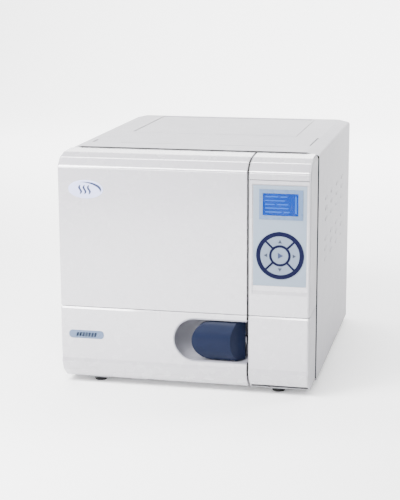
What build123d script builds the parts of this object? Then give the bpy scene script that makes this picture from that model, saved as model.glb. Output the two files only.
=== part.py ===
"""Benchtop steam autoclave: 17 litre chamber, swing door on the left, control column on the right.

Frame: +Z up, the front faces -Y, and the origin is below the middle of the machine, on the table.
All lengths are millimetres.
"""
import os

from build123d import *

# Overall size
FACADE_WIDTH = 450.0
BODY_DEPTH = 545.0
FACADE_HEIGHT = 413.0
FOOT_HEIGHT = 10.0
HANDLE_PROUD = 8.0
REAR_PROUD = 14.0
COVER_PROUD = 2.0
COVER_RISE = 1.5

# Planes that the pieces are hung from
HALF_WIDTH = FACADE_WIDTH / 2
BOTTOM_Z = FOOT_HEIGHT
FACADE_TOP_Z = BOTTOM_Z + FACADE_HEIGHT
TOP_Z = FACADE_TOP_Z + COVER_RISE
FRONT_Y = -(BODY_DEPTH + HANDLE_PROUD + REAR_PROUD) / 2 + HANDLE_PROUD
REAR_Y = FRONT_Y + BODY_DEPTH
FACADE_DEPTH = 80.0
FACADE_BACK_Y = FRONT_Y + FACADE_DEPTH
SHELL_FRONT_Y = FACADE_BACK_Y + 2.5

# Door and column
DOOR_WIDTH = 339.5
DOOR_GAP = 3.0
DOOR_LEFT = -HALF_WIDTH
DOOR_RIGHT = DOOR_LEFT + DOOR_WIDTH
COLUMN_LEFT = DOOR_RIGHT + DOOR_GAP
COLUMN_RIGHT = HALF_WIDTH
FACADE_WALL = 3.0
ROLL_START_DROP = 23.0
ROLL_MIDDLE = (14.0, 8.5)
ROLL_END = (36.0, 2.2)
TOP_FALL = 0.5
FACADE_CORNER = 10.0
SEAM_Z = 147.0
SEAM = 1.2
SEAM_BEVEL = (3.0, 3.5)
TOP_SEAM_Z = 387.0
LOWER_PROUD = 1.5
LOWER_FRONT_Y = FRONT_Y - LOWER_PROUD
BULGE_Z = 97.0
BULGE_RADIUS = 760.0
BULGE_CORNER = 0.58
TRIM_PROUD = 0.6
CREASE_Z = (44.0, 51.0)
CREASE_DEPTH = 2.2
BACK_PLATE_LEFT = -199.0

# Casing
COVER_WALL = 3.0
COVER_HALF_WIDTH = HALF_WIDTH + COVER_PROUD
COVER_CORNER = 5.0
SHOULDER_X = 204.0
SHOULDER_DROP = 5.0
SHOULDER_RADIUS = 12.0
INNER_X = COVER_HALF_WIDTH - COVER_WALL
FIT = 0.2
SHEET = 2.0
ALL_X = (-250.0, 250.0)
BASE_TOP_Z = 14.0
BASE_FLANGE = 14.0
ARM_Z = (7.5, 9.5)
ARM_HALF_WIDTH = 20.0
ARM_FRONT_Y = -246.0
FEET_X = (-165.0, 165.0)
FRONT_FEET_Y = -232.0
REAR_FEET_Y = 225.0
FOOT_RADII = (11.0, 13.0)

# Louvres in both sides of the cover
VENT_ROWS = (213.0, 232.0, 251.0, 288.0, 308.0, 327.0)
VENT_COLUMNS = 4
VENT_FIRST_Y = -91.0
VENT_PITCH = 79.0
VENT_LENGTH = 35.0
VENT_HEIGHT = 2.6
HOOD_RADIUS = 5.0
HOOD_PROUD = 1.5

# Grooves in the top of the cover, as X and Y limits
GROOVE_DEPTH = 2.0
TOP_GROOVES = (
    ((-148.0, -43.0), (-139.0, -133.0)),
    ((37.0, 159.0), (-139.0, -133.0)),
    ((198.0, 202.0), (-115.0, -13.0)),
    ((-202.0, -198.0), (-138.0, -105.0)),
)

# Chamber and pressure door
CHAMBER_X = -55.0
CHAMBER_Z = 232.0
CHAMBER_RADIUS = 125.0
CHAMBER_WALL = 2.5
CHAMBER_LENGTH = 350.0
FLANGE_FACE_Y = FACADE_BACK_Y + 1.0
FLANGE_THICKNESS = 8.0
FLANGE_BOSS_RADIUS = 138.0
FLANGE_RADIUS = 150.0
BOLT_CIRCLE = 144.0
BOLT_COUNT = 8
BOLT_RADIUS = 3.0
HEAD_DEPTH = 14.0
PORT_RADIUS = 7.0
PORT_LENGTH = 18.0
DISC_RADIUS = 136.0
DISC_THICKNESS = 8.0
DISC_BACK_Y = FACADE_BACK_Y - 2.5
STUD_RADIUS = 8.0
GASKET_RADII = (126.0, 135.0)
GASKET_GAP = 0.3
JACKET_RADIUS = 147.0
JACKET_END = 7.0

# Door hinge, on a vertical axis in the door's rounded rear left edge
HINGE_RADIUS = 14.0
HINGE_X = DOOR_LEFT + HINGE_RADIUS
HINGE_Y = FACADE_BACK_Y - HINGE_RADIUS
KNUCKLE_RADIUS = 9.0
KNUCKLE_LENGTH = 14.0
KNUCKLE_GAP = 0.5
HINGE_PIN_RADIUS = 5.0
HINGE_PIN_Z = (184.5, 279.5)
HINGE_WINDOW_Z = (184.0, 280.0)
HINGE_PLATE_X = (-219.0, -206.5)
YOKE_Z = (200.5, 263.5)
YOKE_Y = (FACADE_BACK_Y - 30.5, FACADE_BACK_Y - 18.5)
YOKE_RIGHT_X = 100.0

# Handle, its pocket and its vertical pin
POCKET_Z = 97.6
POCKET_RADIUS = 37.5
POCKET_LEFT_X = 22.0
POCKET_CENTRE_Y = LOWER_FRONT_Y + 10.0
POCKET_WALL = 2.5
WELL_X = 58.0
WELL_Y = LOWER_FRONT_Y + 45.0
WELL_HALF_HEIGHT = POCKET_RADIUS - 1.5
HANDLE_LEFT_X = 52.0
HANDLE_RIGHT_X = 111.5
HANDLE_RADIUS = 34.6
HANDLE_CROWN = 60.0
HANDLE_FRONT_Y = FRONT_Y - HANDLE_PROUD
HANDLE_BACK_Y = FRONT_Y + 10.0
HUB_LEFT_X = 73.5
HUB_BACK_Y = FRONT_Y + 16.0
SLANT_X = 86.0
SLANT_ANGLE = 46.0
HANDLE_PIVOT_X = DOOR_RIGHT - 27.0
HANDLE_PIVOT_Y = FRONT_Y + 8.0
HANDLE_PIN_RADIUS = 3.0
RUNNING_GAP = 0.05

# Latch and lock
HOOK_Z = (POCKET_Z - 6.0, POCKET_Z + 6.0)
HOOK_SLOT_Z = (POCKET_Z - 6.3, POCKET_Z + 6.3)
HOOK_HUB_RADIUS = 8.5
HOOK_REACH = (24.0, 21.0)
HOOK_BAR = 6.0
STRIKER_Y = (FRONT_Y + 18.0, FRONT_Y + 46.0)
LOCK_Y = FRONT_Y + 45.0
LOCK_Z = 172.0
LOCK_RADIUS = 4.0
LOCK_HOLE_RADIUS = 7.5

# Control panel
PANEL_X = (COLUMN_LEFT + 1.0, COLUMN_RIGHT - 3.5)
PANEL_GAP = 0.3
PANEL_BACK_Y = FRONT_Y + 13.6
PANEL_CHAMFER = 2.5
RECESS_Z = (192.5, 380.0)
RECESS_DEPTH = 2.0
RECESS_BEVEL = 6.0
OVERLAY_X = (125.0, 217.5)
OVERLAY_Z = (202.0, 378.0)
OVERLAY_THICKNESS = 0.8
BEZEL_X = (135.4, 211.0)
BEZEL_Z = (319.0, 371.2)
BEZEL_FRONT_Y = FRONT_Y + 0.4
SCREEN_X = (141.6, 203.2)
SCREEN_Z = (326.1, 364.5)
SCREEN_BACK_Y = FRONT_Y + 4.0
KEYPAD_X = 171.9
KEYPAD_Z = 256.1
KEYPAD_RADII = (41.5, 34.5)
START_RADII = (18.4, 14.9)
RING_FRONT_Y = FRONT_Y + 0.2
KEY_FRONT_Y = FRONT_Y + 0.6
KEY_BACK_Y = FRONT_Y + 5.0
SPOKE_WIDTH = 3.0
KEY_GAP = 0.4
KEY_TRAVEL = 1.0

# Door badges, as centre and half size or size
OVAL_BADGE = (-172.5, 360.5)
OVAL_RADII = (32.0, 16.5)
BAR_BADGE = (-177.5, 96.3)
BAR_SIZE = (65.0, 15.0)
BADGE_THICKNESS = 0.8

# Water tank and its lid
LID_X = (-163.0, 152.0)
LID_Y = (6.0, 250.0)
LID_GAP = 1.0
LID_THICKNESS = 2.6
LID_HINGE_Y = LID_Y[1] - LID_GAP - LID_THICKNESS / 2
LID_HINGE_Z = TOP_Z - LID_THICKNESS / 2
LID_PEG_RADIUS = 1.0
LID_PEG_LENGTH = 3.0
RIM_WIDTH = 5.0
RIM_HEIGHT = 1.2
RIM_ROUND = 1.0
TANK_WALL = 2.5
TANK_X = (-148.0, 147.0)
TANK_Y = (32.0, 237.0)
TANK_FLOOR_Z = 384.0
TANK_SUMP_Z = 292.0
TANK_SUMP_Y = 168.0

# Trays and their rack, with heights above the chamber's axis
TRAY_LEVELS = (-58.0, -12.0, 34.0)
TRAY_Y = (-168.0, 122.0)
TRAY_HALF_WIDTH = 94.0
TRAY_HEIGHT = 16.0
TRAY_WALL = 1.0
TRAY_CORNER = 12.0
TRAY_SLOT = (44.0, 8.0)
TRAY_SLOT_PITCH = (56.0, 42.0)
RACK_X = 96.0
RACK_BOTTOM = -88.0
RACK_FOOT_X = 84.0
RACK_PLATE = (-74.0, 70.0)
RACK_WIRE_RADIUS = 2.5

# Machinery on the base, to the right of the chamber
BOILER = (158.0, -70.0)
BOILER_TOP_Z = 165.0
BOILER_RADIUS = 36.0
PUMP = (160.0, 66.0)
PUMP_RADIUS = 40.0
FEED_Z = 34.0

# Rear panel fittings, as X and Z of their centres
REAR_PANEL_Y = (265.5, 267.5)
FAN_X = -120.0
FAN_Z = 175.0
FAN_RADIUS = 54.0
FAN_BORE = 56.0
FAN_HALF = 59.5
FAN_SHAFT_RADIUS = 2.5
FAN_BLADES = 7
INLET = (150.0, 44.0)
INLET_HALF = (24.0, 12.0)
SWITCH = (195.0, 44.0)
SWITCH_HALF = (10.5, 14.0)
FLANGE_RIM = 1.8
VALVE = (185.0, 335.0)
VALVE_RADIUS = 10.0
STEM_RADIUS = 4.0
FILTER = (60.0, 60.0)
FILTER_RADII = (20.0, 12.0)
AIR_SLOT_FIRST = (20.0, 110.0)
AIR_SLOT_PITCH = (34.0, 22.0)
AIR_SLOT_HALF = (13.0, 2.5)
DRAIN_X = -180.0
DRAIN_Z = 40.0
DRAIN_END_Y = 276.0
DRAIN_LEVER_Y = 271.8
DRAIN_RADIUS = 9.0
LEVER_STEM_RADIUS = 2.5
LEVER_HUB_RADIUS = 3.5
LEVER_LENGTH = 20.0
BARB_RADIUS = 4.0
ROCKER_Y = 261.5
ROCKER_TILT = 8.0
TRUNNION_RADIUS = 1.5


def block(x, y, z):
    """Box between three pairs of limits."""
    pairs = (x, y, z)
    size = [high - low for low, high in pairs]
    middle = [(high + low) / 2 for low, high in pairs]
    return Pos(*middle) * Box(*size)


def rod(axis, a, b, radius, start, end):
    """Cylinder along a frame axis; a and b are its other two coordinates, in X, Y, Z order."""
    length = end - start
    middle = (start + end) / 2
    if axis == "X":
        place = Location((middle, a, b), (0, 90, 0))
    elif axis == "Y":
        place = Location((a, middle, b), (90, 0, 0))
    else:
        place = Location((a, b, middle))
    return place * Cylinder(radius, length)


def tube(axis, a, b, outer, inner, start, end):
    """Hollow cylinder along a frame axis."""
    return rod(axis, a, b, outer, start, end) - rod(axis, a, b, inner, start - 1, end + 1)


def hexagon(axis, a, b, radius, start, end):
    """Hexagonal prism along a frame axis."""
    prism = extrude(RegularPolygon(radius, 6), amount=end - start)
    if axis == "Y":
        return Location((a, end, b), (90, 0, 0)) * prism
    return Location((a, b, start)) * prism


def prism(outline, x):
    """Side outline, drawn in Y and Z, run along X between two limits."""
    return extrude(Plane.YZ.offset(x[0]) * outline, amount=x[1] - x[0])


def outline(corners):
    """Closed outline from (y, z, radius) corners."""
    points = [(y, z) for y, z, _ in corners]
    radii = [radius for _, _, radius in corners]
    return make_face(FilletPolyline(*points, radius=radii, close=True))


def upper_outline():
    """Door or column above the main seam: flat front, two rolled bands, nearly flat top."""
    return outline([
        (FACADE_BACK_Y, SEAM_Z + SEAM / 2, 0),
        (FRONT_Y, SEAM_Z + SEAM / 2, 0.8),
        (FRONT_Y, FACADE_TOP_Z - ROLL_START_DROP, 10.0),
        (FRONT_Y + ROLL_MIDDLE[0], FACADE_TOP_Z - ROLL_MIDDLE[1], 12.0),
        (FRONT_Y + ROLL_END[0], FACADE_TOP_Z - ROLL_END[1], 20.0),
        (FACADE_BACK_Y, FACADE_TOP_Z - TOP_FALL, 0),
    ])


def lower_outline():
    """Door or column below the main seam: bevelled top edge, slight bulge, crease and tucked-under foot."""
    seam_z = SEAM_Z - SEAM / 2
    return outline([
        (FACADE_BACK_Y, BOTTOM_Z + 0.5, 0),
        (LOWER_FRONT_Y + 23.0, BOTTOM_Z + 0.5, 12.0),
        (LOWER_FRONT_Y + 5.0, BOTTOM_Z + 18.0, 12.0),
        (LOWER_FRONT_Y - TRIM_PROUD, CREASE_Z[0], 4.0),
        (LOWER_FRONT_Y - TRIM_PROUD + CREASE_DEPTH, CREASE_Z[1], 1.0),
        (LOWER_FRONT_Y - BULGE_CORNER, BULGE_Z, BULGE_RADIUS),
        (LOWER_FRONT_Y + 0.9, seam_z - SEAM_BEVEL[1], 1.0),
        (LOWER_FRONT_Y + SEAM_BEVEL[0], seam_z, 1.0),
        (FACADE_BACK_Y, seam_z, 0),
    ])


def facade_solid(face, x, left_radius, right_radius):
    """Solid of a facade moulding with its front and top edges rounded at each end."""
    solid = prism(face, x)
    for end, radius in ((0, left_radius), (-1, right_radius)):
        side = solid.faces().sort_by(Axis.X)[end]
        edges = [edge for edge in side.edges() if edge.center().Y < FACADE_BACK_Y - 1]
        solid = fillet(edges, radius)
    return solid


def facade_cavity(face, x):
    """Inside of a facade moulding, open at the back."""
    inner = offset(face, -FACADE_WALL, kind=Kind.INTERSECTION)
    room = prism(inner, (x[0] + FACADE_WALL, x[1] - FACADE_WALL))
    box = room.bounding_box()
    mouth = block(
        (box.min.X, box.max.X),
        (FACADE_BACK_Y - FACADE_WALL - 1, FACADE_BACK_Y + 1),
        (box.min.Z + 0.5, box.max.Z - 0.5),
    )
    return room + mouth


def hinge_rounding(z):
    """Waste outside the door's rear left edge, whose radius is centred on the hinge axis."""
    corner = block((DOOR_LEFT - 1, HINGE_X), (HINGE_Y, FACADE_BACK_Y + 1), z)
    return corner - rod("Z", HINGE_X, HINGE_Y, HINGE_RADIUS, z[0] - 1, z[1] + 1)


def top_rounding(edge_x, side):
    """Waste outside the facade's upper corner on one side, left -1 or right 1."""
    axis_x = edge_x - side * FACADE_CORNER
    axis_z = FACADE_TOP_Z - TOP_FALL - FACADE_CORNER
    y = (FRONT_Y - 1, FACADE_BACK_Y + 1)
    corner = block(sorted((axis_x, edge_x + side)), y, (axis_z, FACADE_TOP_Z + 1))
    return corner - rod("Y", axis_x, axis_z, FACADE_CORNER, y[0] - 1, y[1] + 1)


def seam_opening():
    """Room behind the two covers' short flanges at the seam, for the disc and the back plate."""
    x = (DOOR_LEFT + FACADE_WALL, DOOR_RIGHT - FACADE_WALL)
    return block(x, (FRONT_Y + 30, FACADE_BACK_Y + 1), (SEAM_Z - 5, SEAM_Z + 5))


def hinge_window():
    """Opening through which the chassis bracket reaches the hinge pin as the door swings."""
    return block((DOOR_LEFT - 1, -200.0), (HINGE_Y - 13, FACADE_BACK_Y + 1), HINGE_WINDOW_Z)


def door_upper_cover():
    """Upper moulding of the door, open at the back, with a hole for the lock bolt."""
    x = (DOOR_LEFT, DOOR_RIGHT)
    face = upper_outline()
    cover = facade_solid(face, x, 3.0, 1.5) - hinge_rounding((SEAM_Z - 2, TOP_Z + 1))
    cover -= top_rounding(DOOR_LEFT, -1)
    cover -= facade_cavity(face, (x[0] + FACADE_CORNER / 4, x[1])) + seam_opening()
    cover -= hinge_window()
    return cover - rod("X", LOCK_Y, LOCK_Z, LOCK_HOLE_RADIUS, DOOR_RIGHT - 5, DOOR_RIGHT + 1)


def pocket_room(grow):
    """Scooped finger pocket behind the handle, opening at the door's right edge."""
    radius = POCKET_RADIUS + grow
    half_height = WELL_HALF_HEIGHT + grow
    right = DOOR_RIGHT + 5
    scoop = rod("X", POCKET_CENTRE_Y, POCKET_Z, radius, POCKET_LEFT_X, right)
    scoop += Pos(POCKET_LEFT_X, POCKET_CENTRE_Y, POCKET_Z) * Sphere(radius)
    front = LOWER_FRONT_Y - 10
    mouth = rod("Y", POCKET_LEFT_X, POCKET_Z, radius, front, POCKET_CENTRE_Y)
    mouth += block((POCKET_LEFT_X, right), (front, POCKET_CENTRE_Y), (POCKET_Z - radius, POCKET_Z + radius))
    behind = block((-100, right + 1), (POCKET_CENTRE_Y, POCKET_CENTRE_Y + 100), (0, 200))
    well = block(
        (WELL_X - grow, right),
        (POCKET_CENTRE_Y - 1, WELL_Y + grow),
        (POCKET_Z - half_height, POCKET_Z + half_height),
    )
    return (scoop & behind) + mouth + well


def door_lower_cover():
    """Lower moulding of the door, cut out round the handle pocket."""
    x = (DOOR_LEFT, DOOR_RIGHT)
    face = lower_outline()
    cover = facade_solid(face, x, 3.0, 1.5) - hinge_rounding((BOTTOM_Z - 1, SEAM_Z + 1))
    return cover - facade_cavity(face, x) - seam_opening() - pocket_room(POCKET_WALL)


def handle_pocket():
    """Moulded cup behind the handle, trimmed to the door's own front."""
    limits = prism(lower_outline(), (-100.0, DOOR_RIGHT))
    cup = (pocket_room(POCKET_WALL) & limits) - pocket_room(0)
    pin_hole = rod("Z", HANDLE_PIVOT_X, HANDLE_PIVOT_Y, HANDLE_PIN_RADIUS, 40, 150)
    return cup - pin_hole


def door_handle():
    """Lever with a rounded left end, a crowned front and a slanted right end over its hub."""
    z = (POCKET_Z - HANDLE_RADIUS, POCKET_Z + HANDLE_RADIUS)
    grip = rod("Y", HANDLE_LEFT_X, POCKET_Z, HANDLE_RADIUS, HANDLE_FRONT_Y, HANDLE_BACK_Y)
    grip += block((HANDLE_LEFT_X, HANDLE_RIGHT_X), (HANDLE_FRONT_Y, HANDLE_BACK_Y), z)
    grip += block((HUB_LEFT_X, HANDLE_RIGHT_X), (HANDLE_BACK_Y - 1, HUB_BACK_Y), z)
    grip &= rod("X", HANDLE_FRONT_Y + HANDLE_CROWN, POCKET_Z, HANDLE_CROWN, -10, DOOR_RIGHT)
    waste = block((0, 60), (-40, 0), (-50, 50))
    grip -= Location((SLANT_X, HANDLE_FRONT_Y, POCKET_Z), (0, 0, SLANT_ANGLE)) * waste
    grip -= rod("Z", HANDLE_PIVOT_X, HANDLE_PIVOT_Y, HANDLE_PIN_RADIUS + RUNNING_GAP, 0, 200)
    slot = rod("Z", HANDLE_PIVOT_X, HANDLE_PIVOT_Y, HOOK_HUB_RADIUS + 0.3, *HOOK_SLOT_Z)
    slot_x = (64.0, HANDLE_PIVOT_X + HOOK_HUB_RADIUS + 0.3)
    slot += block(slot_x, (HANDLE_PIVOT_Y, FRONT_Y + 30), HOOK_SLOT_Z)
    return grip - slot


def latch_hook():
    """Steel hook on the handle's pin, behind the handle, that reaches towards the column."""
    x, y = HANDLE_PIVOT_X, HANDLE_PIVOT_Y
    reach_x, reach_y = HOOK_REACH
    hook = rod("Z", x, y, HOOK_HUB_RADIUS, *HOOK_Z)
    hook += block((66.0, x), (y + 1, y + HOOK_HUB_RADIUS), HOOK_Z)
    hook += block((x - 4, x + 4), (y + HOOK_HUB_RADIUS - 2, y + reach_y), HOOK_Z)
    hook += block((x - 4, x + reach_x), (y + reach_y - HOOK_BAR, y + reach_y), HOOK_Z)
    hook += block((x + reach_x - HOOK_BAR, x + reach_x), (y + reach_y - 2 * HOOK_BAR, y + reach_y), HOOK_Z)
    return hook - rod("Z", x, y, HANDLE_PIN_RADIUS + RUNNING_GAP, 0, 200)


def door_badges():
    """Plain oval plate on the upper door cover and a plain bar on the lower one."""
    oval = extrude(Ellipse(*OVAL_RADII), amount=BADGE_THICKNESS)
    bar = extrude(RectangleRounded(*BAR_SIZE, 4.0), amount=BADGE_THICKNESS)
    return [
        Location((OVAL_BADGE[0], FRONT_Y, OVAL_BADGE[1]), (90, 0, 0)) * oval,
        Location((BAR_BADGE[0], LOWER_FRONT_Y, BAR_BADGE[1]), (90, 0, 0)) * bar,
    ]


def door_back_plate():
    """Inner sheet of the door, round the pressure disc."""
    x = (BACK_PLATE_LEFT, DOOR_RIGHT - FACADE_WALL - 0.5)
    plate = block(x, (FACADE_BACK_Y - 3.0, FACADE_BACK_Y - 1.5), (BOTTOM_Z + 5, FACADE_TOP_Z - 5))
    return plate - rod("Y", CHAMBER_X, CHAMBER_Z, DISC_RADIUS + 3, FACADE_BACK_Y - 10, FACADE_BACK_Y)


def door_yoke():
    """Steel cross-bar inside the door, hung on the hinge pin, that carries the pressure disc."""
    y = YOKE_Y
    yoke = block((HINGE_X, YOKE_RIGHT_X), y, YOKE_Z)
    yoke += rod("Z", HINGE_X, HINGE_Y, KNUCKLE_RADIUS, YOKE_Z[0], YOKE_Z[1])
    yoke += block((YOKE_RIGHT_X - 14, YOKE_RIGHT_X), (y[1] - 1, FACADE_BACK_Y - 3.0), YOKE_Z)
    yoke -= rod("Y", CHAMBER_X, CHAMBER_Z, STUD_RADIUS + 0.1, y[0] - 1, y[1] + 1)
    for side in (-1, 1):
        yoke -= rod("Y", CHAMBER_X + 80 * side, CHAMBER_Z, 16.0, y[0] - 1, y[1] + 1)
    return yoke - rod("Z", HINGE_X, HINGE_Y, HINGE_PIN_RADIUS + RUNNING_GAP, YOKE_Z[0] - 1, YOKE_Z[1] + 1)


def pressure_disc():
    """Dished stainless closure with a stiffening rim."""
    back = DISC_BACK_Y
    front = back - DISC_THICKNESS
    disc = rod("Y", CHAMBER_X, CHAMBER_Z, DISC_RADIUS, front, back)
    disc -= tube("Y", CHAMBER_X, CHAMBER_Z, DISC_RADIUS - 8, 40.0, front - 1, back - 4)
    disc -= rod("Y", CHAMBER_X, CHAMBER_Z, 118.0, back - 2, back + 1)
    disc += rod("Y", CHAMBER_X, CHAMBER_Z, 14.0, back - 15, front + 1)
    return disc + rod("Y", CHAMBER_X, CHAMBER_Z, STUD_RADIUS, back - 40, back - 14)


def door_gasket():
    """Seal on the disc's rim, just clear of the flange."""
    outer, inner = GASKET_RADII[1], GASKET_RADII[0]
    return tube("Y", CHAMBER_X, CHAMBER_Z, outer, inner, DISC_BACK_Y, FLANGE_FACE_Y - GASKET_GAP)


def disc_nut():
    """Nut that holds the pressure disc's stud to the yoke."""
    back = YOKE_Y[0]
    nut = hexagon("Y", CHAMBER_X, CHAMBER_Z, 15.0, back - 10, back)
    return nut - rod("Y", CHAMBER_X, CHAMBER_Z, STUD_RADIUS, back - 11, back + 1)


def handle_pin():
    return rod("Z", HANDLE_PIVOT_X, HANDLE_PIVOT_Y, HANDLE_PIN_RADIUS, POCKET_Z - 41, POCKET_Z + 41)


def hinge_bracket():
    """Two chassis knuckles above and below the door's own, on one plate behind the bulkhead."""
    plate_y = (SHELL_FRONT_Y + SHEET, SHELL_FRONT_Y + SHEET + 4)
    bracket = block(HINGE_PLATE_X, plate_y, (HINGE_WINDOW_Z[0] - 4, HINGE_WINDOW_Z[1] + 4))
    for z in (YOKE_Z[0] - KNUCKLE_GAP - KNUCKLE_LENGTH, YOKE_Z[1] + KNUCKLE_GAP):
        ends = (z, z + KNUCKLE_LENGTH)
        bracket += rod("Z", HINGE_X, HINGE_Y, KNUCKLE_RADIUS, *ends)
        bracket += block((HINGE_PLATE_X[0], HINGE_PLATE_X[1] + 3), (HINGE_Y, plate_y[1]), ends)
    return bracket - rod("Z", HINGE_X, HINGE_Y, HINGE_PIN_RADIUS, 0, 400)


def hinge_pin():
    return rod("Z", HINGE_X, HINGE_Y, HINGE_PIN_RADIUS, *HINGE_PIN_Z)


def base_plate():
    """Floor sheet with an upturned flange along each side and two arms for the front feet."""
    half = INNER_X - FIT
    plate = block((-half, half), (SHELL_FRONT_Y, REAR_PANEL_Y[0]), (BASE_TOP_Z - SHEET, BASE_TOP_Z))
    for side in (-1, 1):
        edges = sorted((side * half, side * (half - 1.5)))
        flange_z = (BASE_TOP_Z - SHEET, BASE_TOP_Z + BASE_FLANGE)
        plate += block(edges, (SHELL_FRONT_Y + SHEET, REAR_PANEL_Y[0]), flange_z)
    for x in FEET_X:
        width = (x - ARM_HALF_WIDTH, x + ARM_HALF_WIDTH)
        plate += block(width, (ARM_FRONT_Y, SHELL_FRONT_Y + SHEET), ARM_Z)
        plate += block(width, (SHELL_FRONT_Y, SHELL_FRONT_Y + SHEET), (ARM_Z[0], BASE_TOP_Z))
    return plate


def rubber_feet():
    """Two short feet under the arms and two taller ones under the floor sheet."""
    feet = []
    for y, height in ((FRONT_FEET_Y, ARM_Z[0]), (REAR_FEET_Y, BASE_TOP_Z - SHEET)):
        feet += [Location((x, y, height / 2)) * Cone(*FOOT_RADII, height) for x in FEET_X]
    return feet


def casing_tunnel(inset, y):
    """Solid with the cover's outline drawn in by inset, from below the machine up, between two Y limits."""
    half = COVER_HALF_WIDTH - inset
    top = TOP_Z - inset
    corner = max(COVER_CORNER - inset, 2.0)
    corners = [
        (-half, 0.0, 0),
        (half, 0.0, 0),
        (half, top - SHOULDER_DROP, corner),
        (SHOULDER_X, top, SHOULDER_RADIUS),
        (-SHOULDER_X, top, SHOULDER_RADIUS),
        (-half, top - SHOULDER_DROP, corner),
    ]
    return extrude(Plane.XZ.offset(-y[0]) * outline(corners), amount=y[0] - y[1])


def front_bulkhead():
    """Painted sheet that the chamber's flange, the column and the cover are fixed to."""
    y = (SHELL_FRONT_Y, SHELL_FRONT_Y + SHEET)
    cut = (y[0] - 1, y[1] + 1)
    plate = casing_tunnel(COVER_WALL + FIT, y) & block(ALL_X, cut, (BASE_TOP_Z, TOP_Z))
    plate -= rod("Y", CHAMBER_X, CHAMBER_Z, FLANGE_BOSS_RADIUS + FIT, *cut)
    plate -= block((-219.5, -203.0), cut, HINGE_WINDOW_Z)
    plate -= block((135.0, 205.0), cut, (60.0, 350.0))
    for x, z in bolt_places():
        plate -= rod("Y", x, z, BOLT_RADIUS, *cut)
    return plate


def louvre_places():
    """Side, Y and Z of every louvre: two groups of three rows on each side."""
    return [
        (side, VENT_FIRST_Y + column * VENT_PITCH, row)
        for side in (-1, 1)
        for row in VENT_ROWS
        for column in range(VENT_COLUMNS)
    ]


def louvre_hood(side, y, z):
    """Pressed hood: the outer part of a round-ended bar let into the cover's wall."""
    axis_x = side * (COVER_HALF_WIDTH + HOOD_PROUD - HOOD_RADIUS)
    reach = VENT_LENGTH / 2 - HOOD_RADIUS
    bar = rod("Y", axis_x, z, HOOD_RADIUS, y - reach, y + reach)
    bar += Pos(axis_x, y - reach, z) * Sphere(HOOD_RADIUS)
    bar += Pos(axis_x, y + reach, z) * Sphere(HOOD_RADIUS)
    wall = sorted((side * (COVER_HALF_WIDTH - COVER_WALL / 2), side * (COVER_HALF_WIDTH + 5)))
    return bar & block(wall, (y - VENT_LENGTH, y + VENT_LENGTH), (z - 10, z + 10))


def louvre_slot(side, y, z):
    """Air slot through the wall under one hood."""
    x = side * (COVER_HALF_WIDTH - COVER_WALL / 2)
    place = Plane(origin=(x, y, z - VENT_HEIGHT), x_dir=(0, 1, 0), z_dir=(1, 0, 0))
    return extrude(place * SlotOverall(VENT_LENGTH - 8, VENT_HEIGHT), amount=COVER_WALL + 2, both=True)


def outer_cover():
    """Top and both sides in one moulding, with louvres, grooves and a rim round the tank opening."""
    y = (SHELL_FRONT_Y, REAR_Y)
    cover = casing_tunnel(0.0, y) - casing_tunnel(COVER_WALL, (y[0] - 1, y[1] + 1))
    cover -= block(ALL_X, (y[0] - 1, y[1] + 1), (-1.0, BOTTOM_Z))
    rim_x = (LID_X[0] - RIM_WIDTH, LID_X[1] + RIM_WIDTH)
    rim_y = (LID_Y[0] - RIM_WIDTH, LID_Y[1] + RIM_WIDTH)
    rim = block(rim_x, rim_y, (TOP_Z - 1, TOP_Z + RIM_HEIGHT))
    cover += fillet(rim.faces().sort_by(Axis.Z)[-1].edges(), RIM_ROUND)
    cover -= block(LID_X, LID_Y, (TOP_Z - 10, TOP_Z + RIM_HEIGHT + 1))
    for x in ((LID_X[0] - LID_PEG_LENGTH, LID_X[0] + 1), (LID_X[1] - 1, LID_X[1] + LID_PEG_LENGTH)):
        cover -= rod("X", LID_HINGE_Y, LID_HINGE_Z, LID_PEG_RADIUS + RUNNING_GAP, *x)
    for x, groove_y in TOP_GROOVES:
        cover -= block(x, groove_y, (TOP_Z - GROOVE_DEPTH, TOP_Z + 1))
    cover += [louvre_hood(*place) for place in louvre_places()]
    return cover - [louvre_slot(*place) for place in louvre_places()]


def tank_lid():
    """Flat lid whose rear edge is round and carries a peg at each end."""
    x = (LID_X[0] + LID_GAP, LID_X[1] - LID_GAP)
    y = (LID_Y[0] + LID_GAP, LID_HINGE_Y)
    peg = LID_PEG_LENGTH
    lid = block(x, y, (TOP_Z - LID_THICKNESS, TOP_Z))
    lid += rod("X", LID_HINGE_Y, LID_HINGE_Z, LID_THICKNESS / 2, *x)
    return lid + rod("X", LID_HINGE_Y, LID_HINGE_Z, LID_PEG_RADIUS, x[0] - peg, x[1] + peg)


def tank_room(grow):
    """Water space: shallow over the chamber, with a deep sump behind it."""
    x = (TANK_X[0] - grow, TANK_X[1] + grow)
    back = TANK_Y[1] + grow
    shallow = block(x, (TANK_Y[0] - grow, back), (TANK_FLOOR_Z + TANK_WALL - grow, TOP_Z))
    sump = block(x, (TANK_SUMP_Y - grow, back), (TANK_SUMP_Z + TANK_WALL - grow, TOP_Z))
    return shallow + sump


def water_tank():
    """Open tub that hangs by its flange under the cover."""
    rim_z = TOP_Z - COVER_WALL
    tub = tank_room(TANK_WALL)
    tub += block((LID_X[0] - 4, LID_X[1] + 4), (LID_Y[0] - 4, LID_Y[1] + 4), (rim_z - 3, rim_z))
    tub -= block((-200, 200), (0, 300), (rim_z, rim_z + 10))
    return tub - tank_room(0)


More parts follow.
